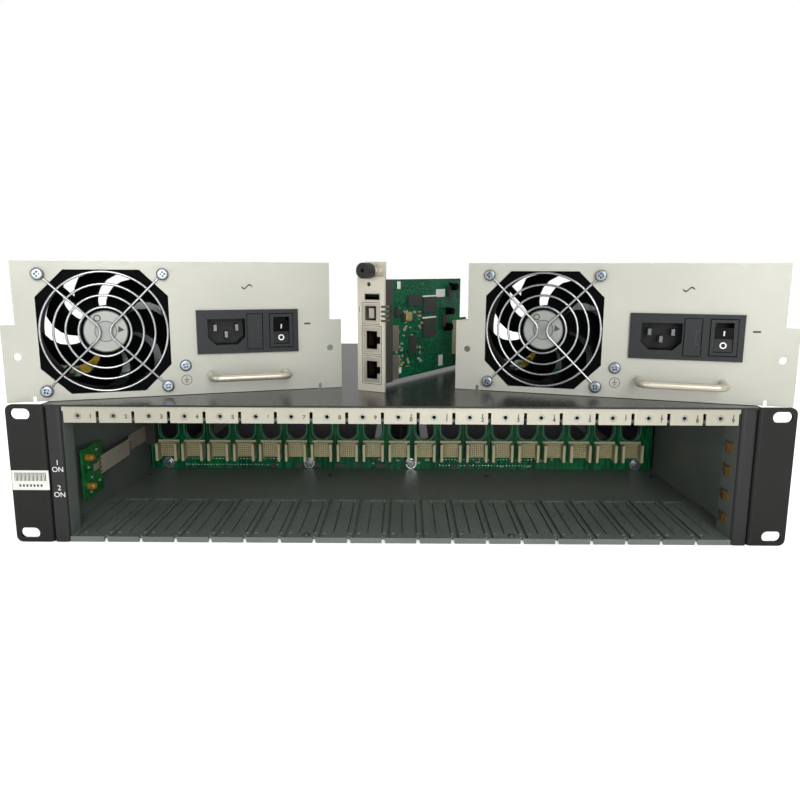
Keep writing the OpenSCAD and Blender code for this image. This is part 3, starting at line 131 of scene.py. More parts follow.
def empty_tree(holder):
    """The node tree of a material or world, cleared"""
    holder.use_nodes = True
    holder.node_tree.nodes.clear()
    return holder.node_tree


print("middle grey is", round(linear("#808080")[0], 3), "in linear light")

# %% Sky
WHITE = linear("#FFFFFF")
SKY_LIGHT, ROOM_LIGHT = 0.56, 0.2
ROOM_ENDS, SKY_STARTS = -0.9, 0.1


def seen_white(tree):
    """1 where the camera or glass looks, and 0 where light falls on the object"""
    path = add(tree, "LightPath")
    return add(tree, "Math", {0: path.outputs["Is Camera Ray"], 1: path.outputs["Is Transmission Ray"]},
               operation="MAXIMUM")


world = bpy.data.worlds.new("studio")
bpy.context.scene.world = world
tree = empty_tree(world)
way = add(tree, "SeparateXYZ", {0: add(tree, "TexCoord").outputs["Generated"]})
dimmer = add(tree, "MapRange", {0: way.outputs["Y"], 1: ROOM_ENDS, 2: SKY_STARTS, 3: ROOM_LIGHT, 4: SKY_LIGHT})
lit = add(tree, "Background", {"Color": WHITE, "Strength": dimmer.outputs[0]})
shown = add(tree, "Background", {"Color": WHITE, "Strength": 1.0})
pick = add(tree, "MixShader", {0: seen_white(tree).outputs[0], 1: lit.outputs[0], 2: shown.outputs[0]})
add(tree, "OutputWorld", {"Surface": pick.outputs[0]})
print("sky", SKY_LIGHT, "room", ROOM_LIGHT)

# %% Floor and lamps
FLOOR_LIFT = 0.62
FLOOR_RADIUS, FLOOR_DROP = 6, 0.0002
bpy.ops.object.select_all(action="DESELECT")
bpy.ops.mesh.primitive_circle_add(vertices=64, radius=FLOOR_RADIUS, fill_type="NGON",
                                  location=(0, 0, -FLOOR_DROP))
floor = bpy.context.object
floor.name = "floor"
paper = bpy.data.materials.new("white_paper")
tree = empty_tree(paper)
matt = add(tree, "BsdfDiffuse", {"Color": linear("#F4F4F2")})
lift = add(tree, "Emission", {"Color": WHITE, "Strength": FLOOR_LIFT})
both = add(tree, "AddShader", {0: matt.outputs[0], 1: lift.outputs[0]})
pick = add(tree, "MixShader", {0: seen_white(tree).outputs[0], 1: matt.outputs[0], 2: both.outputs[0]})
add(tree, "OutputMaterial", {"Surface": pick.outputs[0]})
floor.data.materials.append(paper)

# Each lamp has a place and a size in metres, and its watts
LAMPS = {
    "front_lamp": ((0.3, -1.8, 0.9), 0.9, 15),
    "low_lamp": ((0.15, -1.5, 0.3), 0.5, 6),
    "left_lamp": ((-1.4, -1.5, 0.5), 0.8, 7),
    "right_lamp": ((1.6, -0.9, 1.0), 1.0, 3),
    "top_lamp": ((0, 0.5, 1.9), 1.4, 6),
}
for name, (spot, size, watts) in LAMPS.items():
    lamp = bpy.data.objects.new(name, bpy.data.lights.new(name, "AREA"))
    lamp.data.size = size
    lamp.data.energy = watts
    towards_object = (-Vector(spot)).to_track_quat("-Z", "Y").to_matrix().to_4x4()
    lamp.matrix_world = Matrix.Translation(spot) @ towards_object
    bpy.context.scene.collection.objects.link(lamp)
print(len(LAMPS), "lamps")

# %% [markdown]
# ## Finishes
# Nearly every surface here is painted, plated or moulded, and such a surface shows three things: a colour that
# drifts a little over centimetres, a fine grain in its gloss, and a shallow relief. One function gives all
# three from real sizes in millimetres. The grain can be stretched, as brushing and rolling do, and turned with
# its module. Edges are a little paler: wear on paint, and a painted highlight on rounded edges.

# %% One function for painted, plated and moulded surfaces
FINISHES = {}
EDGE_MM, EDGE_SAMPLES = 0.35, 4
EDGE_BEGINS, EDGE_FULL, EDGE_SHARE = 0.999, 0.86, 0.8
RELIEF_STRENGTH = 0.6


def finish(name, low, high, rough, metallic=0.0, patch=35, grain=0.5, along=(1, 1, 1), turn=0.0, relief=0.01,
           spread=0.08, edge_wear_and_highlight=None, **sockets):
    """A material whose colour drifts between low and high, sizes in mm. Returns its tree and shader too"""
    material = bpy.data.materials.new(name)
    tree = empty_tree(material)
    seen = add(tree, "TexCoord").outputs["Object"]
    unturned = add(tree, "Mapping", {"Vector": seen, "Rotation": (0, 0, -turn)}, vector_type="POINT")
    stretched = add(tree, "Mapping", {"Vector": unturned.outputs[0], "Scale": along}, vector_type="POINT")
    drift = add(tree, "TexNoise", {"Vector": seen, "Scale": 1 / (patch * MM), "Detail": 3})
    fine = add(tree, "TexNoise", {"Vector": stretched.outputs[0], "Scale": 1 / (grain * MM), "Detail": 2})
    colour = add(tree, "Mix", {0: drift.outputs[0], 6: linear(low), 7: linear(high)}, data_type="RGBA")
    tone = colour.outputs[2]
    # Paler edges: wear on paint, and a painted highlight where a rounded edge catches the light
    if edge_wear_and_highlight:
        rounded = add(tree, "Bevel", {"Radius": EDGE_MM * MM}, samples=EDGE_SAMPLES)
        true = add(tree, "NewGeometry")
        alike = add(tree, "VectorMath", {0: rounded.outputs[0], 1: true.outputs["Normal"]},
                    operation="DOT_PRODUCT")
        worn_and_lit_edge = add(tree, "MapRange", {0: alike.outputs["Value"], 1: EDGE_BEGINS, 2: EDGE_FULL,
                                      3: 0, 4: EDGE_SHARE})
        tone = add(tree, "Mix", {0: worn_and_lit_edge.outputs[0], 6: tone, 7: linear(edge_wear_and_highlight)}, data_type="RGBA").outputs[2]
    gloss = add(tree, "MapRange", {0: fine.outputs[0], 1: 0.3, 2: 0.7,
                                   3: rough - spread / 2, 4: rough + spread / 2})
    bumps = add(tree, "Bump", {"Height": fine.outputs[0], "Distance": relief * MM, "Strength": RELIEF_STRENGTH})
    shader = add(tree, "BsdfPrincipled", {"Base Color": tone, "Roughness": gloss.outputs[0],
                                          "Normal": bumps.outputs[0], "Metallic": metallic, **sockets})
    add(tree, "OutputMaterial", {"Surface": shader.outputs[0]})
    FINISHES[name] = material
    return tree, shader


# %% Dressing a node, and a second colour on one finish


def dress(node, name):
    """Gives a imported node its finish"""
    mesh = frame["nodes"][node].data
    mesh.materials.clear()
    mesh.materials.append(FINISHES[name])


def second_colour(tree, shader, test, code):
    """Paints a second colour where a test in the tree gives 1"""
    first = shader.inputs["Base Color"].links[0].from_socket
    both = add(tree, "Mix", {0: test.outputs[0], 6: first, 7: linear(code)}, data_type="RGBA")
    tree.links.new(both.outputs[2], shader.inputs["Base Color"])


def deeper_than(tree, module, depth):
    """1 where a surface lies further into a module than a depth in mm, and 0 in front of it"""
    inward = module.to_3x3() @ Vector((0, 1, 0))
    along = add(tree, "VectorMath", {0: add(tree, "TexCoord").outputs["Object"], 1: inward},
                operation="DOT_PRODUCT")
    return add(tree, "Math", {0: along.outputs["Value"], 1: inward.dot(module.translation) + depth * MM},
               operation="GREATER_THAN")


# %% [markdown]
# ### The case: painted, dyed and plated steel
# Powder paint has a leathery skin of half-millimetre bumps, more gloss on the cover and less on the ears. The
# rail is nickel plated, which is warm and pale. The floor plate is rolled, dyed and a little shiny. Screws are
# zinc plated, which is a cool, bright metal, or blackened, which is dark with a soft shine. The case is black
# outside and on its folded front flanges, and the paint inside the card cage is grey. In the bays behind the
# backplane the colour is darkened to black as painted shade, and the paint there is duller too.

# %% Two-colour paint of the case, and painted shade in its bays
FLANGE_BACK, PAINTED_SHADE_FRONT, WALL_MIDDLE, FLOOR_MIDDLE = -188.6, -21, 216.9, 0.5
BAYS_ROUGHNESS = 0.95
tree, shader = finish("powder_paint_grey", "#59605C", "#676E6A", 0.4, relief=0.03, edge_wear_and_highlight="#6A706C")
spot = add(tree, "SeparateXYZ", {0: add(tree, "TexCoord").outputs["Object"]})
in_front = add(tree, "Math", {0: spot.outputs["Y"], 1: FLANGE_BACK * MM}, operation="LESS_THAN")
# Behind the backplane the bays are darkened to black as painted shade, which keeps the airflow windows dark
bays_painted_shade = add(tree, "Math", {0: spot.outputs["Y"], 1: PAINTED_SHADE_FRONT * MM}, operation="GREATER_THAN")
sideways = add(tree, "Math", {0: spot.outputs["X"]}, operation="ABSOLUTE")
outside = add(tree, "Math", {0: sideways.outputs[0], 1: WALL_MIDDLE * MM}, operation="GREATER_THAN")
under = add(tree, "Math", {0: spot.outputs["Z"], 1: FLOOR_MIDDLE * MM}, operation="LESS_THAN")
black = in_front
for test in (outside, under, bays_painted_shade):
    black = add(tree, "Math", {0: black.outputs[0], 1: test.outputs[0]}, operation="MAXIMUM")
# Black paint outside, underneath and on the front flanges, and painted shade in the bays
second_colour(tree, shader, black, "#1C1C1D")
cage_gloss = shader.inputs["Roughness"].links[0].from_socket
inner = add(tree, "Math", {0: bays_painted_shade.outputs[0], 1: outside.outputs[0]}, operation="SUBTRACT")
duller = add(tree, "Mix", {0: inner.outputs[0], 2: cage_gloss, 3: BAYS_ROUGHNESS}, data_type="FLOAT")
tree.links.new(duller.outputs[0], shader.inputs["Roughness"])
print("grey between the walls at", WALL_MIDDLE, "mm and in front of", PAINTED_SHADE_FRONT, "mm")

# %% Other finishes of the case
finish("powder_paint_gloss", "#161617", "#1E1E1F", 0.26, relief=0.012, edge_wear_and_highlight="#343434")
finish("powder_paint_black", "#171615", "#1E1D1C", 0.5, relief=0.04, edge_wear_and_highlight="#413F3C",
       **{"Specular IOR Level": 0.3})
finish("dyed_rolled_steel", "#5E6661", "#7A827B", 0.36, grain=1.2, along=(1, 0.08, 1), relief=0.006,
       edge_wear_and_highlight="#8F958F", spread=0.2, metallic=0.2)
finish("nickel_plate_rail", "#AEAB9B", "#BDBAAA", 0.36, metallic=0.45, grain=0.4, along=(0.15, 1, 1),
       relief=0.004, edge_wear_and_highlight="#E6E1D3", spread=0.12)
finish("zinc_plate", "#7F888F", "#9FA7AE", 0.34, metallic=1.0, patch=4, grain=0.4, relief=0.004)
finish("blackened_steel", "#1C1C1E", "#29292B", 0.36, metallic=0.6, patch=5, relief=0.006)
for name, nodes in {
    "powder_paint_grey": ("chassis_base", "rear_bulkhead", "bay_divider"),
    "powder_paint_gloss": ("top_cover",),
    "powder_paint_black": ("rack_ear_left", "rack_ear_right"),
    "dyed_rolled_steel": ("card_guide_floor", "card_guide_top"),
    "nickel_plate_rail": ("front_rail",),
    "zinc_plate": ("floor_rivets", "backplane_screws"),
    "blackened_steel": ("ear_screws", "cover_screws", "tray_guides"),
}.items():
    for node in nodes:
        dress(node, name)
print(len(FINISHES), "finishes so far")

# %% [markdown]
# ### Circuit boards
# A circuit board is glass cloth under green varnish, with copper tracks that show as paler green lines. The
# tracks are drawn as bands on two scales, which is coarser than real tracks, so that they show at all.

# %% Green varnish over tracks
LINE_CORE, LINE_END = 0.04, 0.09
POUR_SCALE, POUR_FROM, POUR_TO, POUR_SHARE = 4, 0.35, 0.65, 0.35


def circuit_board(name, varnish, track, run, turn=0.0, band=3.0):
    """Green varnish over tracks that run in one direction with jogs"""
    tree, shader = finish(name, varnish, varnish, 0.34, patch=12, grain=0.9, relief=0.012, turn=turn,
                          **{"Specular IOR Level": 0.14})
    seen = add(tree, "TexCoord").outputs["Object"]
    flat = add(tree, "Mapping", {"Vector": seen, "Rotation": (0, 0, -turn), "Scale": run})
    cells = add(tree, "TexVoronoi", {"Vector": flat.outputs[0], "Scale": 1 / (band * MM), "Randomness": 0.9},
                feature="DISTANCE_TO_EDGE", distance="EUCLIDEAN")
    lines = add(tree, "MapRange", {0: cells.outputs[0], 1: LINE_CORE, 2: LINE_END, 3: 1, 4: 0})
    pours = add(tree, "TexVoronoi", {"Vector": flat.outputs[0], "Scale": 1 / (POUR_SCALE * band * MM)},
                feature="F1")
    patches = add(tree, "MapRange", {0: pours.outputs["Color"], 1: POUR_FROM, 2: POUR_TO, 3: 0, 4: POUR_SHARE})
    copper = add(tree, "Math", {0: lines.outputs[0], 1: patches.outputs[0]}, operation="MAXIMUM")
    painted = add(tree, "Mix", {0: copper.outputs[0], 6: linear(varnish), 7: linear(track)}, data_type="RGBA")
    tree.links.new(painted.outputs[2], shader.inputs["Base Color"])


circuit_board("backplane_varnish", "#053D22", "#0B653B", run=(1, 1, 0.1), band=4)
circuit_board("lamp_board_varnish", "#0A5424", "#2A8548", run=(1, 0.25, 1), band=2)
circuit_board("card_varnish", "#043A24", "#0C6E47", run=(1, 0.3, 1), turn=TURNS["card"], band=2.4)
for side in SUPPLY:
    circuit_board(side + "_supply_varnish", "#0F5A33", "#1B7A47", run=(0.4, 1, 1), turn=TURNS[side])
print(len(FINISHES), "finishes with the boards")

# %% [markdown]
# ### Plastics
# Each plastic is named for what it is. Polyester headers are dull and warm, with edges paled by wear and a
# painted highlight, and moulded epoxy chips are matt and faintly sandy. The fan's plastic is deep black and
# gives almost no gloss. A lamp is cast of clear amber epoxy. Slate nylon is a dark blue grey with a soft shine,
# and where the inlet's socket goes deep it is darkened to black as painted shade. The rocker and the knob are
# smoother and blacker nylon.

# %% Finishes of plastics
INLET_FACE_DEPTH = -0.7
finish("beige_polyester", "#B2AD86", "#C9C49E", 0.5, patch=9, relief=0.006, edge_wear_and_highlight="#D8D1B4")
finish("chip_epoxy", "#232624", "#30322F", 0.55, patch=3, grain=0.25, relief=0.01)
finish("black_fan_plastic", "#050506", "#0A0A0B", 0.45, patch=10, grain=0.3, relief=0.006,
       **{"Specular IOR Level": 0.02})
finish("amber_epoxy", "#8C6A20", "#B08C3C", 0.12, patch=2, relief=0.001,
       **{"Transmission Weight": 0.45, "IOR": 1.54})
finish("ribbon_vinyl", "#A19A8A", "#B4AD9C", 0.45, patch=14, relief=0.004)
finish("yellow_winding_tape", "#C29A1E", "#D8B43A", 0.3, patch=6, relief=0.01)
finish("blue_sleeve", "#1A3768", "#27498A", 0.28, patch=8, relief=0.004)
finish("rocker_nylon", "#0B0C0D", "#121314", 0.36, patch=4, grain=0.3, relief=0.004,
       **{"Specular IOR Level": 0.2})
finish("black_knob_nylon", "#111112", "#1B1B1C", 0.3, patch=4, grain=0.3, relief=0.006, edge_wear_and_highlight="#3A3A3A")
for side, place in SUPPLY.items():
    tree, shader = finish(side + "_slate_nylon", "#181B1D", "#202325", 0.45, patch=12, grain=0.3, relief=0.01,
                          edge_wear_and_highlight="#4A4F52", **{"Specular IOR Level": 0.3})
    # Where the socket goes deep, the slate is darkened to black as painted shade
    second_colour(tree, shader, deeper_than(tree, place, INLET_FACE_DEPTH), "#08090A")
print(len(FINISHES), "finishes with the plastics")

# %% [markdown]
# ### Small metal parts
# The supplies' plates are brushed along their length and nickel plated, which is pale and warm with fine
# streaks. The guard's wire and the handle are rounder and brighter. Heat sinks are anodised, so they are dull,
# and the ground fingers are springs of beryllium copper. The card's plate is cream where it faces out, and its
# flange behind, which faces away from the light, is darkened as painted shade. The metal inside the flat port's
# slot is darkened as painted shade too.

# %% Finishes of plain metal
for side in SUPPLY:
    finish(side + "_nickel_plate", "#A5A69C", "#B9B8AE", 0.48, metallic=0.3, patch=60, grain=0.35,
           along=(0.06, 1, 1), turn=TURNS[side], relief=0.003, edge_wear_and_highlight="#D8D6CE", spread=0.12)
finish("bright_nickel_wire", "#A0A4A6", "#B6B9B9", 0.28, metallic=1.0, patch=6, relief=0.002)
finish("satin_nickel_handle", "#BDB7A4", "#CFC9B8", 0.3, metallic=0.6, patch=20, grain=0.3, relief=0.003)
finish("anodised_aluminium", "#858A8C", "#9DA1A3", 0.42, metallic=0.9, grain=0.6, along=(1, 1, 0.1),
       relief=0.006)
finish("beryllium_copper", "#7E5F3A", "#A07F50", 0.34, metallic=0.8, patch=3, relief=0.004)
finish("tinned_brass_pin", "#5E6265", "#73777A", 0.3, metallic=1.0, patch=3, relief=0.003)
print(len(FINISHES), "finishes with plain metal")

# %% Finishes of the card's ports and plate
FLAT_PORT_Z, FLAT_PORT_HALF, PORT_SKIN = 63.6, 2.2, 0.5
PLATE_SKIN, FLANGE_TOP = 1.6, 75
tree, shader = finish("tinned_steel_ports", "#A9A596", "#C3BFB2", 0.33, metallic=0.85, patch=5, grain=0.3,
                      relief=0.003, edge_wear_and_highlight="#EFECE2")
# Inside the flat port's slot the tinned metal is darkened as painted shade
spot = add(tree, "SeparateXYZ", {0: add(tree, "TexCoord").outputs["Object"]})
above = add(tree, "Math", {0: spot.outputs["Z"], 1: CARD.translation.z + FLAT_PORT_Z * MM},
            operation="SUBTRACT")
distance = add(tree, "Math", {0: above.outputs[0]}, operation="ABSOLUTE")
level = add(tree, "Math", {0: distance.outputs[0], 1: FLAT_PORT_HALF * MM}, operation="LESS_THAN")
slot_painted_shade = add(tree, "Math", {0: level.outputs[0], 1: deeper_than(tree, CARD, PORT_SKIN).outputs[0]},
              operation="MULTIPLY")
second_colour(tree, shader, slot_painted_shade, "#0C0C0D")
tree, shader = finish("cream_card_plate", "#C2BDAB", "#D3CEBE", 0.38, metallic=0.45, patch=20, grain=0.3,
                      along=(1, 1, 0.1), turn=TURNS["card"], relief=0.003, edge_wear_and_highlight="#F0ECE0")
# The flange behind the face, which faces away from the light, is darkened as painted shade
spot = add(tree, "SeparateXYZ", {0: add(tree, "TexCoord").outputs["Object"]})
below = add(tree, "Math", {0: spot.outputs["Z"], 1: CARD.translation.z + FLANGE_TOP * MM},
            operation="LESS_THAN")
flange_painted_shade = add(tree, "Math", {0: deeper_than(tree, CARD, PLATE_SKIN).outputs[0], 1: below.outputs[0]},
             operation="MULTIPLY")
second_colour(tree, shader, flange_painted_shade, "#4A4944")
print(len(FINISHES), "finishes with the card's")

# %% Dressing the boards, the card and the supplies
for node, name in {
    "backplane_board": "backplane_varnish", "slot_connectors": "beige_polyester",
    "backplane_chips": "chip_epoxy", "supply_docks": "chip_epoxy", "ribbon_header": "chip_epoxy",
    "lamp_board": "lamp_board_varnish", "panel_lamps": "amber_epoxy", "lamp_ribbon": "ribbon_vinyl",
    "ground_fingers": "beryllium_copper", "card_faceplate": "cream_card_plate", "card_board": "card_varnish",
    "card_chips": "chip_epoxy", "card_ports": "tinned_steel_ports", "card_rear_plug": "beige_polyester",
    "card_thumbscrew": "black_knob_nylon", "card_reset_button": "chip_epoxy",
}.items():
    dress(node, name)
for side in SUPPLY:
    for part, name in {
        "tray": side + "_nickel_plate", "circuit_board": side + "_supply_varnish",
        "heat_sinks": "anodised_aluminium", "transformer": "yellow_winding_tape",
        "capacitors": "blue_sleeve", "output_plug": "chip_epoxy", "fan_frame": "black_fan_plastic",
        "fan_rotor": "black_fan_plastic", "fan_guard": "bright_nickel_wire", "plate_screws": "zinc_plate",
        "inlet": side + "_slate_nylon", "inlet_pins": "tinned_brass_pin",
        "fuse_drawer": side + "_slate_nylon", "rocker": "rocker_nylon", "handle": "satin_nickel_handle",
    }.items():
        dress(f"{side}_{part}", name)
bare = [name for name, node in frame["nodes"].items() if node.data.materials[0] not in FINISHES.values()]
print(len(FINISHES), "finishes, nodes without one:", bare)

# %% [markdown]
# ## New pieces
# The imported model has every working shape. What it leaves out is small: recesses in screw heads, contacts,
# printed figures, solder and parts on the boards. Each is drawn in millimetres in its module's own frame, with
# y or v pointing away from the camera, and then brought to metres in the shared frame.

# %% Places, starting and choosing
STAND = Matrix.Rotation(math.pi / 2, 4, "X")


def at(x, y, z, turn=0.0):
    """A place in a module's own frame, in mm, turned about the line of sight"""
    return Matrix.Translation((x, y, z)) @ Matrix.Rotation(turn, 4, "Y")


def start(primitive, **settings):
    """A new primitive, with nothing else selected"""
    bpy.ops.object.select_all(action="DESELECT")
    primitive(**settings)
    return bpy.context.object


def choose(obj, test):
    """Selects the faces whose centre and normal pass a test, and stays in edit mode"""
    bpy.ops.object.mode_set(mode="OBJECT")
    for part in (obj.data.vertices, obj.data.edges, obj.data.polygons):
        part.foreach_set("select", [False] * len(part))
    for face in obj.data.polygons:
        face.select = test(face.center, face.normal)
    bpy.ops.object.mode_set(mode="EDIT")
    bpy.ops.mesh.select_mode(type="FACE")


def upward(centre, normal):
    """A test for choose: faces that look up"""
    return normal.z > 0.9


def downward(centre, normal):
    """A test for choose: faces that look down"""
    return normal.z < -0.9


def forward(centre, normal):
    """A test for choose: faces that look towards the camera"""
    return normal.y < -0.9


def applied(obj, kind, **settings):
    """Adds a modifier and applies it"""
    modifier = obj.modifiers.new(kind.lower(), kind)
    for name, value in settings.items():
        setattr(modifier, name, value)
    bpy.context.view_layer.objects.active = obj
    bpy.ops.object.modifier_apply(modifier=modifier.name)


# %% Blocks, copies and print


def block(size, centre=(0, 0, 0), round_off=0.0, segments=2):
    """A box with rounded edges, the usual start of a small moulded part"""
    obj = start(bpy.ops.mesh.primitive_cube_add, size=1, location=centre)
    obj.scale = size
    bpy.ops.object.transform_apply(location=True, rotation=False, scale=True)
    if round_off:
        applied(obj, "BEVEL", width=round_off, segments=segments)
    return obj


def joined(parts):
    """One object from several"""
    bpy.ops.object.select_all(action="DESELECT")
    for part in parts:
        part.select_set(True)
    bpy.context.view_layer.objects.active = parts[0]
    bpy.ops.object.join()
    return parts[0]


def repeat(model, places):
    """Copies of a model at places in its frame, each with its own mesh, joined to one piece"""
    copies = []
    for place in places:
        twin = model.copy()
        twin.data = model.data.copy()
        twin.data.transform(place)
        bpy.context.scene.collection.objects.link(twin)
        copies.append(twin)
    bpy.data.objects.remove(model)
    return joined(copies)


def ring(radius, width, thick=0.05, sides=48):
    """A flat ring that stands upright"""
    obj = start(bpy.ops.mesh.primitive_circle_add, vertices=sides, radius=radius, fill_type="NGON")
    choose(obj, lambda centre, normal: True)
    bpy.ops.mesh.inset(thickness=width)
    bpy.ops.mesh.delete(type="FACE")
    bpy.ops.object.mode_set(mode="OBJECT")
    applied(obj, "SOLIDIFY", thickness=thick, offset=0)
    obj.data.transform(STAND)
    return obj


# %% Keeping a piece


def keep(obj, name, place, body, finish_name, slot):
    """Brings a finished mesh from mm in its module's frame to metres, and names, dresses and hangs it"""
    bpy.context.view_layer.update()
    obj.name = obj.data.name = name
    obj.data.transform(place @ Matrix.Scale(MM, 4) @ obj.matrix_world)
    obj.matrix_world = Matrix.Identity(4)
    obj.data.materials.clear()
    obj.data.materials.append(FINISHES[finish_name])
    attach(obj, body)
    print(name, len(obj.data.polygons), "faces")


# %% [markdown]
# ### Screws with a cross recess
# The five bright screws on a supply and the small ones on the backplane are pan-head screws with a cross
# recess. A cylinder's rim is bevelled round for the head, its underside is inset and drawn out for the shank,
# and two crossed, tapered bars are cut from the top.

# %% Cross-recess screws
RIM_ROUND = 0.62
RECESS_LENGTH, RECESS_WIDTH, RECESS_HEIGHT, RECESS_LEVEL = 1.25, 0.34, 1.2, 0.9
RECESS_FOOT = (0.35, 0.6, 1)


def cross_screw(head_r, head_h, shank_r, shank_l):
    """A pan-head screw whose head rises towards the camera from y = 0. The recess is in parts of the head"""
    screw = start(bpy.ops.mesh.primitive_cylinder_add, vertices=40, radius=head_r, depth=head_h,
                  location=(0, 0, head_h / 2))
    bpy.ops.object.transform_apply(location=True)
    choose(screw, upward)
    bpy.ops.mesh.bevel(offset=RIM_ROUND * head_h, segments=5, profile=0.55)
    choose(screw, downward)
    bpy.ops.mesh.inset(thickness=head_r - shank_r)
    bpy.ops.mesh.extrude_region_move(TRANSFORM_OT_translate={"value": (0, 0, -shank_l)})
    bpy.ops.object.mode_set(mode="OBJECT")
    for turn in (0, math.pi / 2):
        arm = block((RECESS_LENGTH * head_r, RECESS_WIDTH * head_r, RECESS_HEIGHT * head_h),
                    (0, 0, RECESS_LEVEL * head_h))
        choose(arm, downward)
        bpy.ops.transform.resize(value=RECESS_FOOT)
        bpy.ops.object.mode_set(mode="OBJECT")
        arm.data.transform(Matrix.Rotation(turn + math.pi / 5, 4, "Z"))
        applied(screw, "BOOLEAN", object=arm, operation="DIFFERENCE", solver="EXACT")
        bpy.data.objects.remove(arm)
    screw.data.transform(STAND)
    bpy.context.view_layer.objects.active = screw
    bpy.ops.object.shade_smooth_by_angle(angle=math.radians(35))
    return screw


# %% Screws of the supplies
FAN_U, FAN_W = FAN_CENTRE.x / MM, FAN_CENTRE.z / MM
FAN_SCREW_SPAN, GUARD_FRONT = 71.5, -1.9
EARTH_SCREW = (97.9, -0.1, 19.3)
PLATE_SCREW = (3.8, 2.4, 1.6, 5)
corners = [(FAN_U + s * FAN_SCREW_SPAN / 2, GUARD_FRONT, FAN_W + t * FAN_SCREW_SPAN / 2)
           for s in (-1, 1) for t in (-1, 1)]
screw_places = [at(*spot, turn=0.7 * i) for i, spot in enumerate([*corners, EARTH_SCREW])]
for side, place in SUPPLY.items():
    heads = repeat(cross_screw(*PLATE_SCREW), screw_places)
    keep(heads, side + "_cross_screws", place, side + "_supply", "zinc_plate", "zinc")
    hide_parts(side + "_plate_screws")

# %% [markdown]
# ### Slot numbers on the rail
# Plain figures number the slots. They are raised a few hundredths of a millimetre, like silk-screen ink, and
# placed 4.3 mm before each notch of the rail. Two-digit numbers are stacked, because a notch leaves no room.

# %% Inks and slot numbers
finish("white_ink", "#E4E4E0", "#F0F0EC", 0.6, patch=3, relief=0.002)
finish("grey_ink", "#35332E", "#45423B", 0.6, patch=3, relief=0.002)
INK_T, INK_LIFT = 0.04, 0.02


def figures(words, size, gap, bold=0.0):
    """Raised print that stands upright and faces the camera"""
    text = start(bpy.ops.object.text_add)
    text.data.body = words
    text.data.size = size
    text.data.extrude = INK_T / 2
    text.data.offset = bold
    text.data.align_x = "CENTER"
    text.data.align_y = "CENTER"
    text.data.space_line = gap
    bpy.ops.object.convert(target="MESH")
    text.data.transform(STAND)
    return text


SLOTS, SLOT_PITCH = 19, 21.844
NUMBER_SIZE, NUMBER_GAP, NUMBER_BOLD = 3.5, 0.62, 0.12
NUMBER_BEFORE_NOTCH, NUMBER_Z = 4.3, 80.6
rail_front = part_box("front_rail")[0].y / MM
number_parts = []
for slot in range(SLOTS):
    number = figures("\n".join(str(slot + 1)), NUMBER_SIZE, NUMBER_GAP, NUMBER_BOLD)
    notch = (slot + 1 - SLOTS / 2) * SLOT_PITCH
    number.data.transform(at(notch - NUMBER_BEFORE_NOTCH, rail_front - INK_LIFT, NUMBER_Z))
    number_parts.append(number)
keep(joined(number_parts), "slot_numbers", CASE, "chassis", "grey_ink", "chip_black")

# %% [markdown]
# ### Marks on the supplies
# A supply's plate has an earth symbol beside its screw, the wave of alternating current and a short bar. The
# rocker has the usual line and ring, which lie on its two sloping faces and tip with it. The marks are thin
# blocks and rings, and the wave is a strip whose points are moved along a sine.

# %% Earth and wave symbols
MARK_T = 0.05
EARTH_STEM_H, EARTH_LINE = 2.2, 0.45
EARTH_BARS = ((3.4, 0.1), (2.2, -0.9), (1.0, -1.9))
WAVE_LENGTH, WAVE_LINE, WAVE_HEIGHT = 7, 1.1, 1.2


def earth_mark():
    """The earth symbol: an upright stroke over three shorter and shorter bars, in a ring"""
    bars = [block((EARTH_LINE, MARK_T, EARTH_STEM_H), (0, 0, 1.3))]
    bars += [block((width, MARK_T, EARTH_LINE), (0, 0, z)) for width, z in EARTH_BARS]
    return joined([*bars, ring(3.4, 0.4)])


def wave_mark():
    """The alternating-current symbol, one wave of a sine"""
    obj = start(bpy.ops.mesh.primitive_grid_add, x_subdivisions=24, y_subdivisions=1, size=1)
    for v in obj.data.vertices:
        bend = WAVE_HEIGHT * math.sin(v.co.x * math.tau)
        v.co = (v.co.x * WAVE_LENGTH, v.co.y * WAVE_LINE + bend, 0)
    applied(obj, "SOLIDIFY", thickness=MARK_T, offset=0)
    obj.data.transform(STAND)
    return obj


# %% Marks on plates and rockers
ROCKER_PIVOT = Matrix.Translation((160.7, 5, 41)) @ Matrix.Rotation(math.radians(9), 4, "X")
ROCKER_FACE, ROCKER_SLOPE, ROCKER_MARK_Z = -7.03, math.atan2(2.2, 7.6), 3.8
MARK_PLACES = (at(98.2, -0.03, 9.7), at(139, -0.03, 70), at(179, -0.03, 45))
PLATE_BAR, ROCKER_LINE = (4.4, MARK_T, 1.2), (0.8, 0.06, 3.4)
for side, place in SUPPLY.items():
    marks = [earth_mark(), wave_mark(), block(PLATE_BAR, round_off=0.02)]
    for mark, spot in zip(marks, MARK_PLACES):
        mark.data.transform(spot)
    keep(joined(marks), side + "_plate_marks", place, side + "_supply", "grey_ink", "chip_black")
    strokes = [block(ROCKER_LINE, round_off=0.02), ring(2.0, 0.75)]
    for stroke, way in zip(strokes, (1, -1)):
        sloped = at(0, ROCKER_FACE, ROCKER_MARK_Z * way) @ Matrix.Rotation(way * ROCKER_SLOPE, 4, "X")
        stroke.data.transform(ROCKER_PIVOT @ sloped)
    keep(joined(strokes), side + "_switch_marks", place, side + "_switch", "white_ink", "chip_black")

# %% [markdown]
# ### Seams of the mains inlet
# The fuse drawer and the switch are mouldings of their own, set into the inlet, so a dark line runs round
# each. The lines are thin frames of four bars on the inlet's face. The drawer's frame stands just outside the
# drawer, so the drawer slides out through it.

# %% Dark seams
SWITCH_FRAME = (15.2, 22.1)
SEAM_W, SEAM_T, DRAWER_GAP = 0.4, 0.04, 0.05


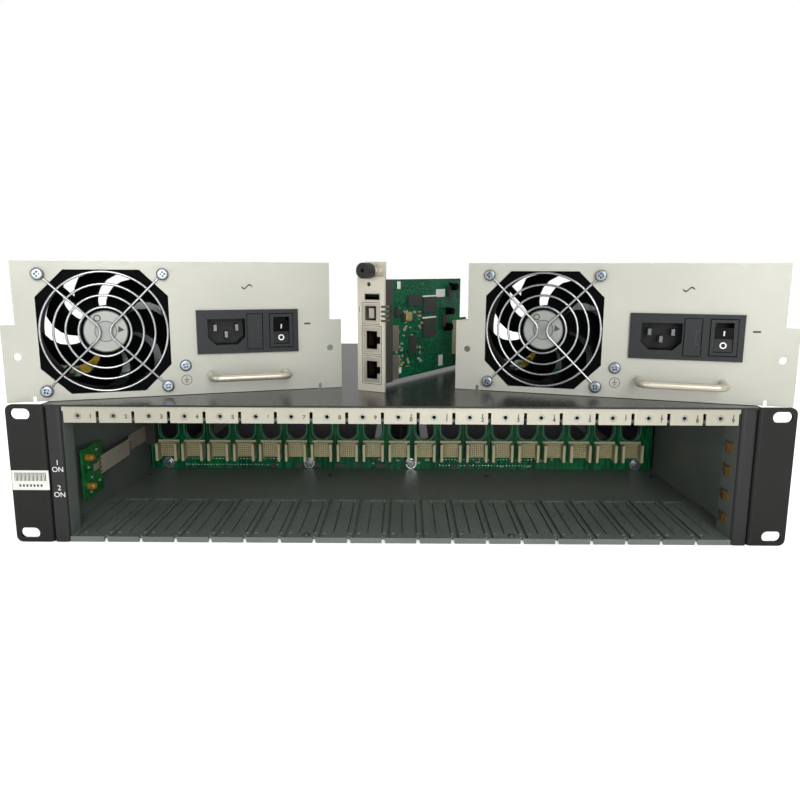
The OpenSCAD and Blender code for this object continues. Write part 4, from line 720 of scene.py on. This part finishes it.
def seam(left, right, foot, top, face):
    """The four bars of a thin dark frame round an opening, on a face"""
    wide, tall, u, w = right - left, top - foot, (left + right) / 2, (foot + top) / 2
    v, half = face - SEAM_T / 2, SEAM_W / 2
    level = [block((wide + 2 * SEAM_W, SEAM_T, SEAM_W), (u, v, end)) for end in (foot - half, top + half)]
    return level + [block((SEAM_W, SEAM_T, tall), (end, v, w)) for end in (left - half, right + half)]


for side, place in SUPPLY.items():
    own = place.inverted()
    face = min((own @ v.co).y for v in frame["nodes"][side + "_inlet"].data.vertices) / MM
    drawer = [own @ v.co / MM for v in frame["nodes"][side + "_fuse_drawer"].data.vertices]
    spans = [(min(v[axis] for v in drawer) - DRAWER_GAP, max(v[axis] for v in drawer) + DRAWER_GAP)
             for axis in (0, 2)]
    middle = ROCKER_PIVOT.translation
    around = [(middle[axis] - size / 2, middle[axis] + size / 2) for axis, size in zip((0, 2), SWITCH_FRAME)]
    seams = joined(seam(*spans[0], *spans[1], face) + seam(*around[0], *around[1], face))
    keep(seams, side + "_inlet_seams", place, side + "_supply", "black_fan_plastic", "chip_black")
    print(side, "inlet face", round(face, 2), "drawer", [[round(c, 2) for c in span] for span in spans])

# %% [markdown]
# ### Lamp figures on the left flange
# The two lamps shine beside a 1 and a 2, each over the word ON. They are white print on the black flange.

# %% Lamp figures
RACK_FACE = -190.5
LAMP_FIGURES = ((1, 49.3), (2, 33.1))
LAMP_FIGURE_X, LAMP_FIGURE_SIZE, LAMP_FIGURE_GAP = -211.9, 4.6, 0.95
for count, z in LAMP_FIGURES:
    words = figures(f"{count}\nON", LAMP_FIGURE_SIZE, LAMP_FIGURE_GAP)
    words.data.transform(at(LAMP_FIGURE_X, RACK_FACE - INK_LIFT, z))
    keep(words, f"lamp_figure_{count}", CASE, "chassis", "white_ink", "chip_black")

# %% [markdown]
# ### The fan's hub label
# A silver foil label is stuck into the shallow dish of the hub and turns with the rotor. It is a thin disc
# with its rim rolled down. Its two printed rings are in its finish, drawn by the distance from the hub's
# centre, and an arrow and a small ring lie on it, which show that it turns.

# %% Foil with printed rings
FOIL_R = 0.014
FOIL_STEPS = ((0, "#8B8D88"), (0.44, "#3C3E3E"), (0.47, "#959792"), (0.9, "#3C3E3E"), (0.93, "#8B8D88"))


def foil(name, centre):
    """Silver foil with two printed rings round a centre"""
    tree, shader = finish(name, "#8B8D88", "#9C9E99", 0.4, metallic=0.3, patch=5, grain=0.3, relief=0.003)
    seen = add(tree, "TexCoord").outputs["Object"]
    centred = add(tree, "VectorMath", {0: seen, 1: centre}, operation="SUBTRACT")
    away = add(tree, "VectorMath", {0: centred.outputs[0]}, operation="LENGTH")
    share = add(tree, "Math", {0: away.outputs["Value"], 1: FOIL_R}, operation="DIVIDE")
    rings = add(tree, "ValToRGB", {0: share.outputs[0]})
    stops = rings.color_ramp
    stops.interpolation = "CONSTANT"
    stops.elements[0].position, stops.elements[1].position = FOIL_STEPS[0][0], FOIL_STEPS[1][0]
    for step, _ in FOIL_STEPS[2:]:
        stops.elements.new(step)
    for element, (_, code) in zip(stops.elements, FOIL_STEPS):
        element.color = linear(code)
    tree.links.new(rings.outputs[0], shader.inputs["Base Color"])


# %% Hub label
HUB_FRONT, HUB_LABEL_R, HUB_LABEL_T = 3.8, 13.2, 0.3
HUB_LABEL_V, HUB_MARK_V = HUB_FRONT - 0.17, HUB_FRONT - 0.34
ARROW_R, ARROW_TURN = 2.5, -0.4
ARROW_PLACE = at(FAN_U + 8.6, HUB_MARK_V, FAN_W + 1, ARROW_TURN)
ARC, ARC_PLACE = (2.2, 0.7, INK_T, 20), at(FAN_U - 4.6, HUB_MARK_V, FAN_W + 8.4)
for side, place in SUPPLY.items():
    foil(side + "_foil", place @ (Vector((FAN_U, HUB_FRONT, FAN_W)) * MM))
    label = start(bpy.ops.mesh.primitive_cylinder_add, vertices=64, radius=HUB_LABEL_R, depth=HUB_LABEL_T)
    choose(label, upward)
    bpy.ops.mesh.bevel(offset=0.12, segments=2)
    bpy.ops.object.mode_set(mode="OBJECT")
    label.data.transform(at(FAN_U, HUB_LABEL_V, FAN_W) @ STAND)
    keep(label, side + "_hub_label", place, side + "_fan", side + "_foil", "sink_grey")
    arrow = start(bpy.ops.mesh.primitive_cylinder_add, vertices=3, radius=ARROW_R, depth=INK_T)
    arrow.data.transform(ARROW_PLACE @ STAND)
    arc = ring(*ARC)
    arc.data.transform(ARC_PLACE)
    keep(joined([arrow, arc]), side + "_hub_marks", place, side + "_fan", "grey_ink", "chip_black")

# %% [markdown]
# ### The backplane: contacts, window lines, solder and screws
# Between the walls of each slot header stands a field of square gilt pins. A pin is a bar with its free end
# drawn to a point, so the front face of a block is made smaller, and the pin is repeated over the field. Lines
# of pale ink follow the airflow windows, and two rows of solder points show where the supplies' docks are
# fixed behind the board. The lower screws sit in tinned rings.

# %% Contact pins
finish("gilt_contact", "#8A7640", "#A8925A", 0.34, metallic=0.9, patch=2, relief=0.002)
finish("window_ink", "#3A6B55", "#477A63", 0.5, patch=6, relief=0.002)
finish("solder", "#C2C6C4", "#DCDFDD", 0.25, metallic=0.9, patch=1, relief=0.01)
board_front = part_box("backplane_board")[0].y / MM
HEADER_SHIFT = 1.6
HEADER_X = [(slot + 0.5 - SLOTS / 2) * SLOT_PITCH - HEADER_SHIFT for slot in range(SLOTS)]
PIN_MIDDLE_Z, PIN_BLOCK_D, PIN_PITCH = 19.7, 5, 1.6
PIN_W, PIN_L, PIN_SUNK, PIN_POINT = 0.7, 3.2, 0.4, (0.6, 1, 0.6)
pin = block((PIN_W, PIN_L, PIN_W), (0, PIN_SUNK - PIN_BLOCK_D - PIN_L / 2, 0))
choose(pin, forward)
bpy.ops.transform.resize(value=PIN_POINT)
bpy.ops.object.mode_set(mode="OBJECT")
field = repeat(pin, [at(PIN_PITCH * i, 0, PIN_PITCH * k) for i in range(-3, 4) for k in range(-3, 4)])
contacts = repeat(field, [at(x, board_front, PIN_MIDDLE_Z) for x in HEADER_X])
keep(contacts, "slot_contacts", CASE, "chassis", "gilt_contact", "copper")

# %% Window lines
WINDOW_W, WINDOW_H, WINDOW_FOOT = 18.2, 48.3, 26.2
LINE_W, LINE_T, LINE_LIFT = 0.8, 0.08, 0.05
outline = start(bpy.ops.mesh.primitive_circle_add, vertices=40, radius=WINDOW_W / 2, fill_type="NGON")
for v in outline.data.vertices:
    v.co.y += math.copysign(WINDOW_H / 2 - WINDOW_W / 2, v.co.y)
choose(outline, lambda centre, normal: True)
bpy.ops.mesh.inset(thickness=LINE_W)
bpy.ops.mesh.delete(type="FACE")
bpy.ops.object.mode_set(mode="OBJECT")
applied(outline, "SOLIDIFY", thickness=LINE_T, offset=0)
outline.data.transform(STAND)
lines = repeat(outline, [at(x, board_front - LINE_LIFT, WINDOW_FOOT + WINDOW_H / 2) for x in HEADER_X])
keep(lines, "window_lines", CASE, "chassis", "window_ink", "board_green")

# %% Solder points of the docks
SOLDER_R, SOLDER_PITCH, SOLDER_COUNT = 0.75, 2.6, 31
SOLDER_STARTS, SOLDER_ROWS = (-184.3, 33.4), (4.9, 10.2)
point = start(bpy.ops.mesh.primitive_uv_sphere_add, segments=10, ring_count=6, radius=SOLDER_R)
point.data.transform(Matrix.Diagonal((1, 0.8, 1, 1)))
points = repeat(point, [at(first + SOLDER_PITCH * i, board_front, z)
                        for first in SOLDER_STARTS for i in range(SOLDER_COUNT) for z in SOLDER_ROWS])
bpy.ops.object.shade_smooth()
keep(points, "dock_solder", CASE, "chassis", "solder", "zinc")

# %% Backplane screws in tinned rings
BOARD_SCREW, BOARD_SCREW_LIFT = (3.4, 2.2, 1.4, 4), 0.1
BOARD_SCREW_X, BOARD_SCREW_Z = (-199.2, -78.8, 8.6, 200.5), (6.6, 80)
TINNED_RING, RING_LIFT = (4.7, 1.5, 0.06, 32), 0.03
places = [at(x, board_front - BOARD_SCREW_LIFT, z, turn=0.5 * x) for x in BOARD_SCREW_X for z in BOARD_SCREW_Z]
heads = repeat(cross_screw(*BOARD_SCREW), places)
keep(heads, "backplane_cross_screws", CASE, "chassis", "zinc_plate", "zinc")
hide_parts("backplane_screws")
rings = repeat(ring(*TINNED_RING), [at(x, board_front - RING_LIFT, BOARD_SCREW_Z[0]) for x in BOARD_SCREW_X])
keep(rings, "screw_rings", CASE, "chassis", "solder", "zinc")

# %% [markdown]
# ### The ribbon of the lamp board
# A flat grey cable runs from the lamp board to its header, and bends back to the wall half way. Its eight
# conductors show as ribs. It is a fine grid whose points are set by the height of the ribs and by a smooth
# step, with a thickness behind. Four brown contacts join it to the board.

# %% Ribbed ribbon
low, high = [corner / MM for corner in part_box("lamp_ribbon")]
RIB_H, RIBS, SHEET_T, BEND_START, BEND_END = 0.22, 8, 0.5, -81, -66
ribbon = start(bpy.ops.mesh.primitive_grid_add, x_subdivisions=72, y_subdivisions=8 * RIBS, size=1)
for v in ribbon.data.vertices:
    along, across = v.co.x + 0.5, v.co.y + 0.5
    y = low.y + along * (high.y - low.y)
    bent = min(max((y - BEND_START) / (BEND_END - BEND_START), 0), 1)
    bent = bent * bent * (3 - 2 * bent)
    front = high.x - bent * (high.x - low.x - SHEET_T - RIB_H)
    rib = RIB_H * abs(math.sin(math.pi * RIBS * across))
    v.co = (front - RIB_H + rib, y, low.z + across * (high.z - low.z))
applied(ribbon, "SOLIDIFY", thickness=SHEET_T, offset=-1)
bpy.ops.object.shade_smooth_by_angle(angle=math.radians(40))
keep(ribbon, "ribbed_ribbon", CASE, "chassis", "ribbon_vinyl", "ribbon_grey")
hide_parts("lamp_ribbon")

# %% Contacts of the ribbon
TAIL, TAIL_COUNT, TAIL_PITCH, TAIL_ROUND = (0.8, 3.2, 1.7), 4, 3.05, 0.15
TAIL_IN, TAIL_AHEAD, TAIL_FIRST = 0.4, 1.3, 1.9
tails = [block(TAIL, (high.x - TAIL_IN, low.y - TAIL_AHEAD, low.z + TAIL_FIRST + TAIL_PITCH * i), TAIL_ROUND)
         for i in range(TAIL_COUNT)]
keep(joined(tails), "ribbon_contacts", CASE, "chassis", "beryllium_copper", "copper")

# %% [markdown]
# ### Rims and a label on the front
# Each tapped hole of the rail has a bright chamfered rim, and the left ear carries a white paper label. The
# label's bars are plain ones that spell nothing.

# %% Rail rims
RIM, RIM_SHIFT, RIM_Z, RIM_LIFT = (2.15, 0.5, 0.06, 28), 1.2, 80.9, 0.03
rim_places = [at((slot + 0.5 - SLOTS / 2) * SLOT_PITCH - RIM_SHIFT, rail_front - RIM_LIFT, RIM_Z)
              for slot in range(SLOTS)]
keep(repeat(ring(*RIM), rim_places), "rail_hole_rims", CASE, "chassis", "zinc_plate", "zinc")

# %% Label with bars
finish("label_paper", "#D9D8D2", "#E6E5E0", 0.55, patch=6, relief=0.004)
LABEL_X, LABEL_Z = -229.4, 40.3
LABEL_W, LABEL_H, LABEL_T, PAPER_ROUND = 23.2, 12.6, 0.12, 0.03
BAR_Y, BAR_T = RACK_FACE - 0.13, 0.03
BARS, BAR_PITCH, BAR_H, BAR_LEFT, BAR_RISE = 24, 0.83, 5.4, 9.6, 2.2
BAR_W, BAR_STEP = 0.28, 0.14
DASHES, DASH_PITCH, DASH_W, DASH_H, DASH_LEFT, DASH_DROP = 7, 2.2, 1.2, 1.6, 6.6, 3.4
paper_label = block((LABEL_W, LABEL_T, LABEL_H), (LABEL_X, RACK_FACE - LABEL_T / 2, LABEL_Z), PAPER_ROUND)
keep(paper_label, "ear_label", CASE, "chassis", "label_paper", "rail_cream")
bars = []
for i in range(BARS):
    width = BAR_W + BAR_STEP * ((i * 7) % 3)
    bars.append(block((width, BAR_T, BAR_H), (LABEL_X - BAR_LEFT + BAR_PITCH * i, BAR_Y, LABEL_Z + BAR_RISE)))
bars += [block((DASH_W, BAR_T, DASH_H), (LABEL_X - DASH_LEFT + DASH_PITCH * i, BAR_Y, LABEL_Z - DASH_DROP))
         for i in range(DASHES)]
keep(joined(bars), "ear_label_bars", CASE, "chassis", "grey_ink", "chip_black")

# %% [markdown]
# ### The card's ports
# Jacks are lined with black plastic. A lining is a block whose front is inset and pushed in, so that it leaves
# a cavity like the real one, with a narrower block for the latch beside it. The two other ports are lined with
# thin plates. Printed frames go round three of the ports, and eight gilt contacts lie in each jack.

# %% Port linings
PORTS = {"square": (4.6, 46.3, 12, 12.8), "lower": (4.48, 5.9, 13.8, 17.5), "upper": (4.48, 26.1, 13.8, 17.5)}
FLAT_PORT = (5.2, 60.9, 13.2, 5.4)
JACK_HOLE, JACK_HOLE_U, JACK_MIDDLE = (8.4, 12, 12.0), 7.18, 4.3
LINING_V, LINING_WALL, CAVITY_D = 0.6, 0.6, 9
LATCH, LATCH_U, LATCH_V = (2.2, 12, 4.8), 9.7, 6.9
INSIDE, NARROWER, PLATE_D, PLATE_V, PLATE_T, BACK_V, BACK_T = 0.87, 1.7, 8, 4.7, 0.1, 8.8, 0.3
linings = []
for name in ("lower", "upper"):
    _, w, _, height = PORTS[name]
    lining = block(JACK_HOLE, (JACK_HOLE_U + JACK_MIDDLE, LINING_V + JACK_HOLE[1] / 2, w + height / 2))
    choose(lining, forward)
    bpy.ops.mesh.inset(thickness=LINING_WALL)
    bpy.ops.mesh.extrude_region_move(TRANSFORM_OT_translate={"value": (0, CAVITY_D, 0)})
    bpy.ops.object.mode_set(mode="OBJECT")
    linings += [lining, block(LATCH, (JACK_HOLE_U + LATCH_U, LATCH_V, w + height / 2))]
for u, w, width, height in (FLAT_PORT, PORTS["square"]):
    u, w, wide, tall = u + width / 2, w + height / 2, width - NARROWER, height - NARROWER
    linings.append(block((wide, BACK_T, tall), (u, BACK_V, w)))
    linings += [block((wide, PLATE_D, PLATE_T), (u, PLATE_V, w + half * (height / 2 - INSIDE)))
                for half in (-1, 1)]
    linings += [block((PLATE_T, PLATE_D, tall), (u + half * (width / 2 - INSIDE), PLATE_V, w))
                for half in (-1, 1)]
keep(joined(linings), "card_port_linings", CARD, "card", "black_fan_plastic", "chip_black")

# %% Port frames and jack contacts
FRAME_LINE, FRAME_OUT = 0.4, 0.75
FRAME_MORE = 2 * FRAME_OUT + FRAME_LINE
outlines = []
for u, w, width, height in PORTS.values():
    u, w = u + width / 2, w + height / 2
    for half in (-1, 1):
        outlines.append(block((width + FRAME_MORE, MARK_T, FRAME_LINE),
                              (u, -INK_LIFT, w + half * (height / 2 + FRAME_OUT))))
        outlines.append(block((FRAME_LINE, MARK_T, height + FRAME_MORE),
                              (u + half * (width / 2 + FRAME_OUT), -INK_LIFT, w)))
keep(joined(outlines), "card_port_frames", CARD, "card", "grey_ink", "chip_black")
CONTACT, CONTACT_U, CONTACT_V, CONTACT_PITCH = (0.35, 6, 0.35), 1.0, 5, 1.1
contacts = [block(CONTACT, (JACK_HOLE_U + CONTACT_U, CONTACT_V, PORTS[name][1] + 8.75 + CONTACT_PITCH * i))
            for name in ("lower", "upper") for i in range(-3, 5)]
keep(joined(contacts), "card_jack_contacts", CARD, "card", "gilt_contact", "copper")

# %% Ferrule and status lamp
SLEEVE_R, SLEEVE_WALL, SLEEVE_L = 4.2, 0.16, 4.4
LENS_R, LENS_L, LENS_ROUND, LENS_PLACE = 1.42, 3, 0.5, at(9.3, 1.35, 71.8)
sleeve = ring(SLEEVE_R, SLEEVE_WALL, SLEEVE_L, 40)
sleeve.data.transform(at(KNOB_PLACE.x / MM, SLEEVE_L / 2, KNOB_PLACE.z / MM))
keep(sleeve, "card_screw_sleeve", CARD, "card_screw", "tinned_steel_ports", "zinc")
lens = start(bpy.ops.mesh.primitive_cylinder_add, vertices=32, radius=LENS_R, depth=LENS_L)
choose(lens, upward)
bpy.ops.mesh.bevel(offset=LENS_ROUND, segments=4)
bpy.ops.object.mode_set(mode="OBJECT")
lens.data.transform(LENS_PLACE @ STAND)
keep(lens, "card_status_lamp", CARD, "card", "chip_epoxy", "lamp_amber")

# %% [markdown]
# ### Parts on the card's board
# On the board stand can capacitors, chip parts and a coil, and paper labels lie on it. A can is a cylinder
# whose end is inset and pushed in, on a square foot. The many chip parts are scattered by chance with a fixed
# seed, because only their number and their colours show.

# %% Cans and labels on the card
BOARD_FACE = 4.378
CAN_L, CAN_RISE, CAN_RIM, CAN_DISH, CAN_FOOT = 5.4, 2.9, 0.5, 0.3, 0.9
CANS = ((129, 68.2, 2.9), (123, 48.6, 2.7), (120, 36, 3.1))
finish("white_chip_body", "#85837A", "#A3A198", 0.5, patch=2, relief=0.004)
finish("tan_coil", "#8C7A4A", "#A8955F", 0.45, patch=2, relief=0.01)


def on_board(v, w, length, height, rise, round_off=0.1):
    """A flat part on the card's right face"""
    return block((rise, length, height), (BOARD_FACE + rise / 2, v, w), round_off, 1)


cans = []
for v, w, r in CANS:
    can = start(bpy.ops.mesh.primitive_cylinder_add, vertices=28, radius=r, depth=CAN_L)
    choose(can, upward)
    bpy.ops.mesh.inset(thickness=CAN_RIM)
    bpy.ops.mesh.extrude_region_move(TRANSFORM_OT_translate={"value": (0, 0, -CAN_DISH)})
    bpy.ops.object.mode_set(mode="OBJECT")
    on_side = Matrix.Rotation(math.pi / 2, 4, "Y")
    can.data.transform(Matrix.Translation((BOARD_FACE + CAN_RISE, v, w)) @ on_side)
    cans += [can, on_board(v, w, 2.1 * r, 2.1 * r, CAN_FOOT)]
keep(joined(cans), "card_can_capacitors", CARD, "card", "black_fan_plastic", "chip_black")
# Two paper labels, two pale bars beside the large chip, and two coated squares
PALE_FLATS = (
    (110.5, 63.4, 15, 6.2, 0.12), (112, 9.2, 7.5, 9, 0.12), (91, 61.6, 19, 1.1, 1.7), (91, 45.1, 19, 1.1, 1.7),
    (46, 70.5, 4.4, 5.4, 0.5, 0.2), (48, 8.2, 3.6, 4.6, 0.5, 0.2),
)
keep(joined([on_board(*flat) for flat in PALE_FLATS]), "card_labels", CARD, "card", "label_paper", "rail_cream")

# %% Chip parts on the card
CARD_PARTS = {
    "pale": ("white_chip_body", "rail_cream", 46),
    "dark": ("chip_epoxy", "chip_black", 30),
    "tan": ("tan_coil", "connector_beige", 14),
}
COIL = (58, 47.5, 8, 6.5, 2.6, 0.5)
# Each span is a least value and how far chance may add to it
CHIP_V, CHIP_W, CHIP_LENGTH, CHIP_HEIGHT, CHIP_RISE = (42, 38), (9, 46), (1.0, 1.6), (0.7, 1.2), (0.7, 0.5)
CHIP_ROUND = 0.08
chance = random.Random(4)


def within(least, more):
    """A number by chance"""
    return least + more * chance.random()


for kind, (finish_name, slot_name, count) in CARD_PARTS.items():
    parts = []
    for i in range(count):
        drawn = [within(*span) for span in (CHIP_V, CHIP_W, CHIP_LENGTH, CHIP_HEIGHT, CHIP_RISE)]
        parts.append(on_board(*drawn, CHIP_ROUND))
    if kind == "tan":
        parts.append(on_board(*COIL))
    keep(joined(parts), f"card_{kind}_parts", CARD, "card", finish_name, slot_name)

# %% [markdown]
# ### Parts on the backplane and the lamp board
# A few rows of chip parts stand between the headers' feet and the floor. The lamp board has a paper label, and
# chip parts by its lamps.

# %% Backplane parts
BACKPLANE_PARTS, PART_T, PART_ROUND = 34, 1.2, 0.1
PART_X, PART_Z, PART_W, PART_H = (-60, 200), (4.6, 6.4), (1.4, 2.6), (1.0, 1.2)
dark, pale = [], []
for i in range(BACKPLANE_PARTS):
    x, width, height, z = [within(*span) for span in (PART_X, PART_W, PART_H, PART_Z)]
    part = block((width, PART_T, height), (x, board_front - PART_T / 2, z), PART_ROUND, 1)
    (dark if i % 2 else pale).append(part)
keep(joined(dark), "backplane_dark_parts", CASE, "chassis", "chip_epoxy", "chip_black")
keep(joined(pale), "backplane_pale_parts", CASE, "chassis", "white_chip_body", "rail_cream")

# %% Lamp board parts
LAMP_FACE, LAMP_Y = -211.5, -142.5
LAMP_LABEL, LAMP_LABEL_Z = (0.12, 9, 5), 34.5
LAMP_FEET, FOOT_SIZE = (24.1, 44.1), (2.4, 1.6, 1.5)
LAMP_CHIPS = ((-6, 19.8, 2.2), (-4, 29.5, 1.6), (-8, 37.5, 1.8), (2, 42.5, 2.4), (6, 46.5, 1.6), (8, 24, 1.8))
lamp_parts = [block(LAMP_LABEL, (LAMP_FACE + LAMP_LABEL[0] / 2, LAMP_Y + 5, LAMP_LABEL_Z), PAPER_ROUND, 1)]
for y, z, size in LAMP_CHIPS:
    lamp_parts.append(block((1.1, size, 1.3), (LAMP_FACE + 0.55, LAMP_Y + y, z), 0.1, 1))
for z in LAMP_FEET:
    lamp_parts.append(block(FOOT_SIZE, (LAMP_FACE + FOOT_SIZE[0] / 2, LAMP_Y - 5, z), 0.15, 1))
keep(joined(lamp_parts), "lamp_board_parts", CASE, "chassis", "white_chip_body", "rail_cream")

# %% [markdown]
# ### Parts on the supplies' boards
# A supply's board is crowded. Film capacitors, resistors, chips and small cans fill the free fields between the
# big parts. They stand in a grid of cells with a little chance in each, so that no two touch. The large
# capacitors get an aluminium top with a rolled rim, which is a disc whose middle is inset and pushed down.

# %% Capacitor tops
CAN_TOPS = [(127.2, 79.8, 45.8, 12), (153.7, 79.8, 45.8, 12)]
CAN_TOPS += [(64.2 + 16.57 * i, 149.9, 31.8, 6) for i in range(4)]
SLEEVE_LAP, TOP_T, TOP_ROLL, TOP_DISH, TOP_RIM = 0.7, 0.5, 0.2, 0.3, 0.14


def can_top(u, v, w, radius):
    """The aluminium end of a can, with a rolled rim"""
    disc = start(bpy.ops.mesh.primitive_cylinder_add, vertices=40, radius=radius - SLEEVE_LAP, depth=TOP_T,
                 location=(0, 0, 0.2))
    choose(disc, upward)
    bpy.ops.mesh.bevel(offset=TOP_ROLL, segments=2)
    choose(disc, upward)
    bpy.ops.mesh.inset(thickness=TOP_RIM * radius)
    bpy.ops.mesh.extrude_region_move(TRANSFORM_OT_translate={"value": (0, 0, -TOP_DISH)})
    bpy.ops.object.mode_set(mode="OBJECT")
    disc.matrix_world = Matrix.Translation((u, v, w))
    bpy.ops.object.transform_apply()
    return disc


for side, place in SUPPLY.items():
    tops = joined([can_top(*spot) for spot in CAN_TOPS])
    keep(tops, side + "_can_tops", place, side + "_supply", "anodised_aluminium", "sink_grey")

# %% Small parts of the supplies
BOARD_TOP, SOLDER_GAP, CELL, SHAKE = 9.7, 0.05, 9.5, 0.6
# Each field has its corner (u, v), its columns and its rows
FIELDS = ((19, 98, 4, 4), (114, 98, 6, 4), (19, 40, 2, 4), (148, 145, 3, 3))
KINDS = {
    "film": ((7.4, 3.4, 8.5), 0.5, "yellow_winding_tape", "connector_beige"),
    "resistor": ((7.6, 2.3, 2.3), 0.9, "tan_coil", "connector_beige"),
    "chip": ((6.2, 4.6, 1.8), 0.2, "chip_epoxy", "chip_black"),
    "relay": ((8.2, 6.4, 9.5), 0.4, "black_fan_plastic", "chip_black"),
    "pale": ((5.2, 4.2, 3.2), 0.3, "white_chip_body", "rail_cream"),
}
for side, place in SUPPLY.items():
    chance = random.Random(7)
    heaps = {kind: [] for kind in KINDS}
    for start_u, start_v, columns, rows in FIELDS:
        for i in range(columns * rows):
            kind = chance.choice(list(KINDS))
            (length, width, height), round_off, *_ = KINDS[kind]
            if chance.random() < 0.5:
                length, width = width, length
            u = start_u + CELL * (i % columns + 0.5) + SHAKE * (chance.random() - 0.5)
            v = start_v + CELL * (i // columns + 0.5) + SHAKE * (chance.random() - 0.5)
            part = block((length, width, height), (u, v, BOARD_TOP + SOLDER_GAP + height / 2), round_off)
            heaps[kind].append(part)
    for kind, parts in heaps.items():
        keep(joined(parts), f"{side}_{kind}_parts", place, side + "_supply", *KINDS[kind][2:])
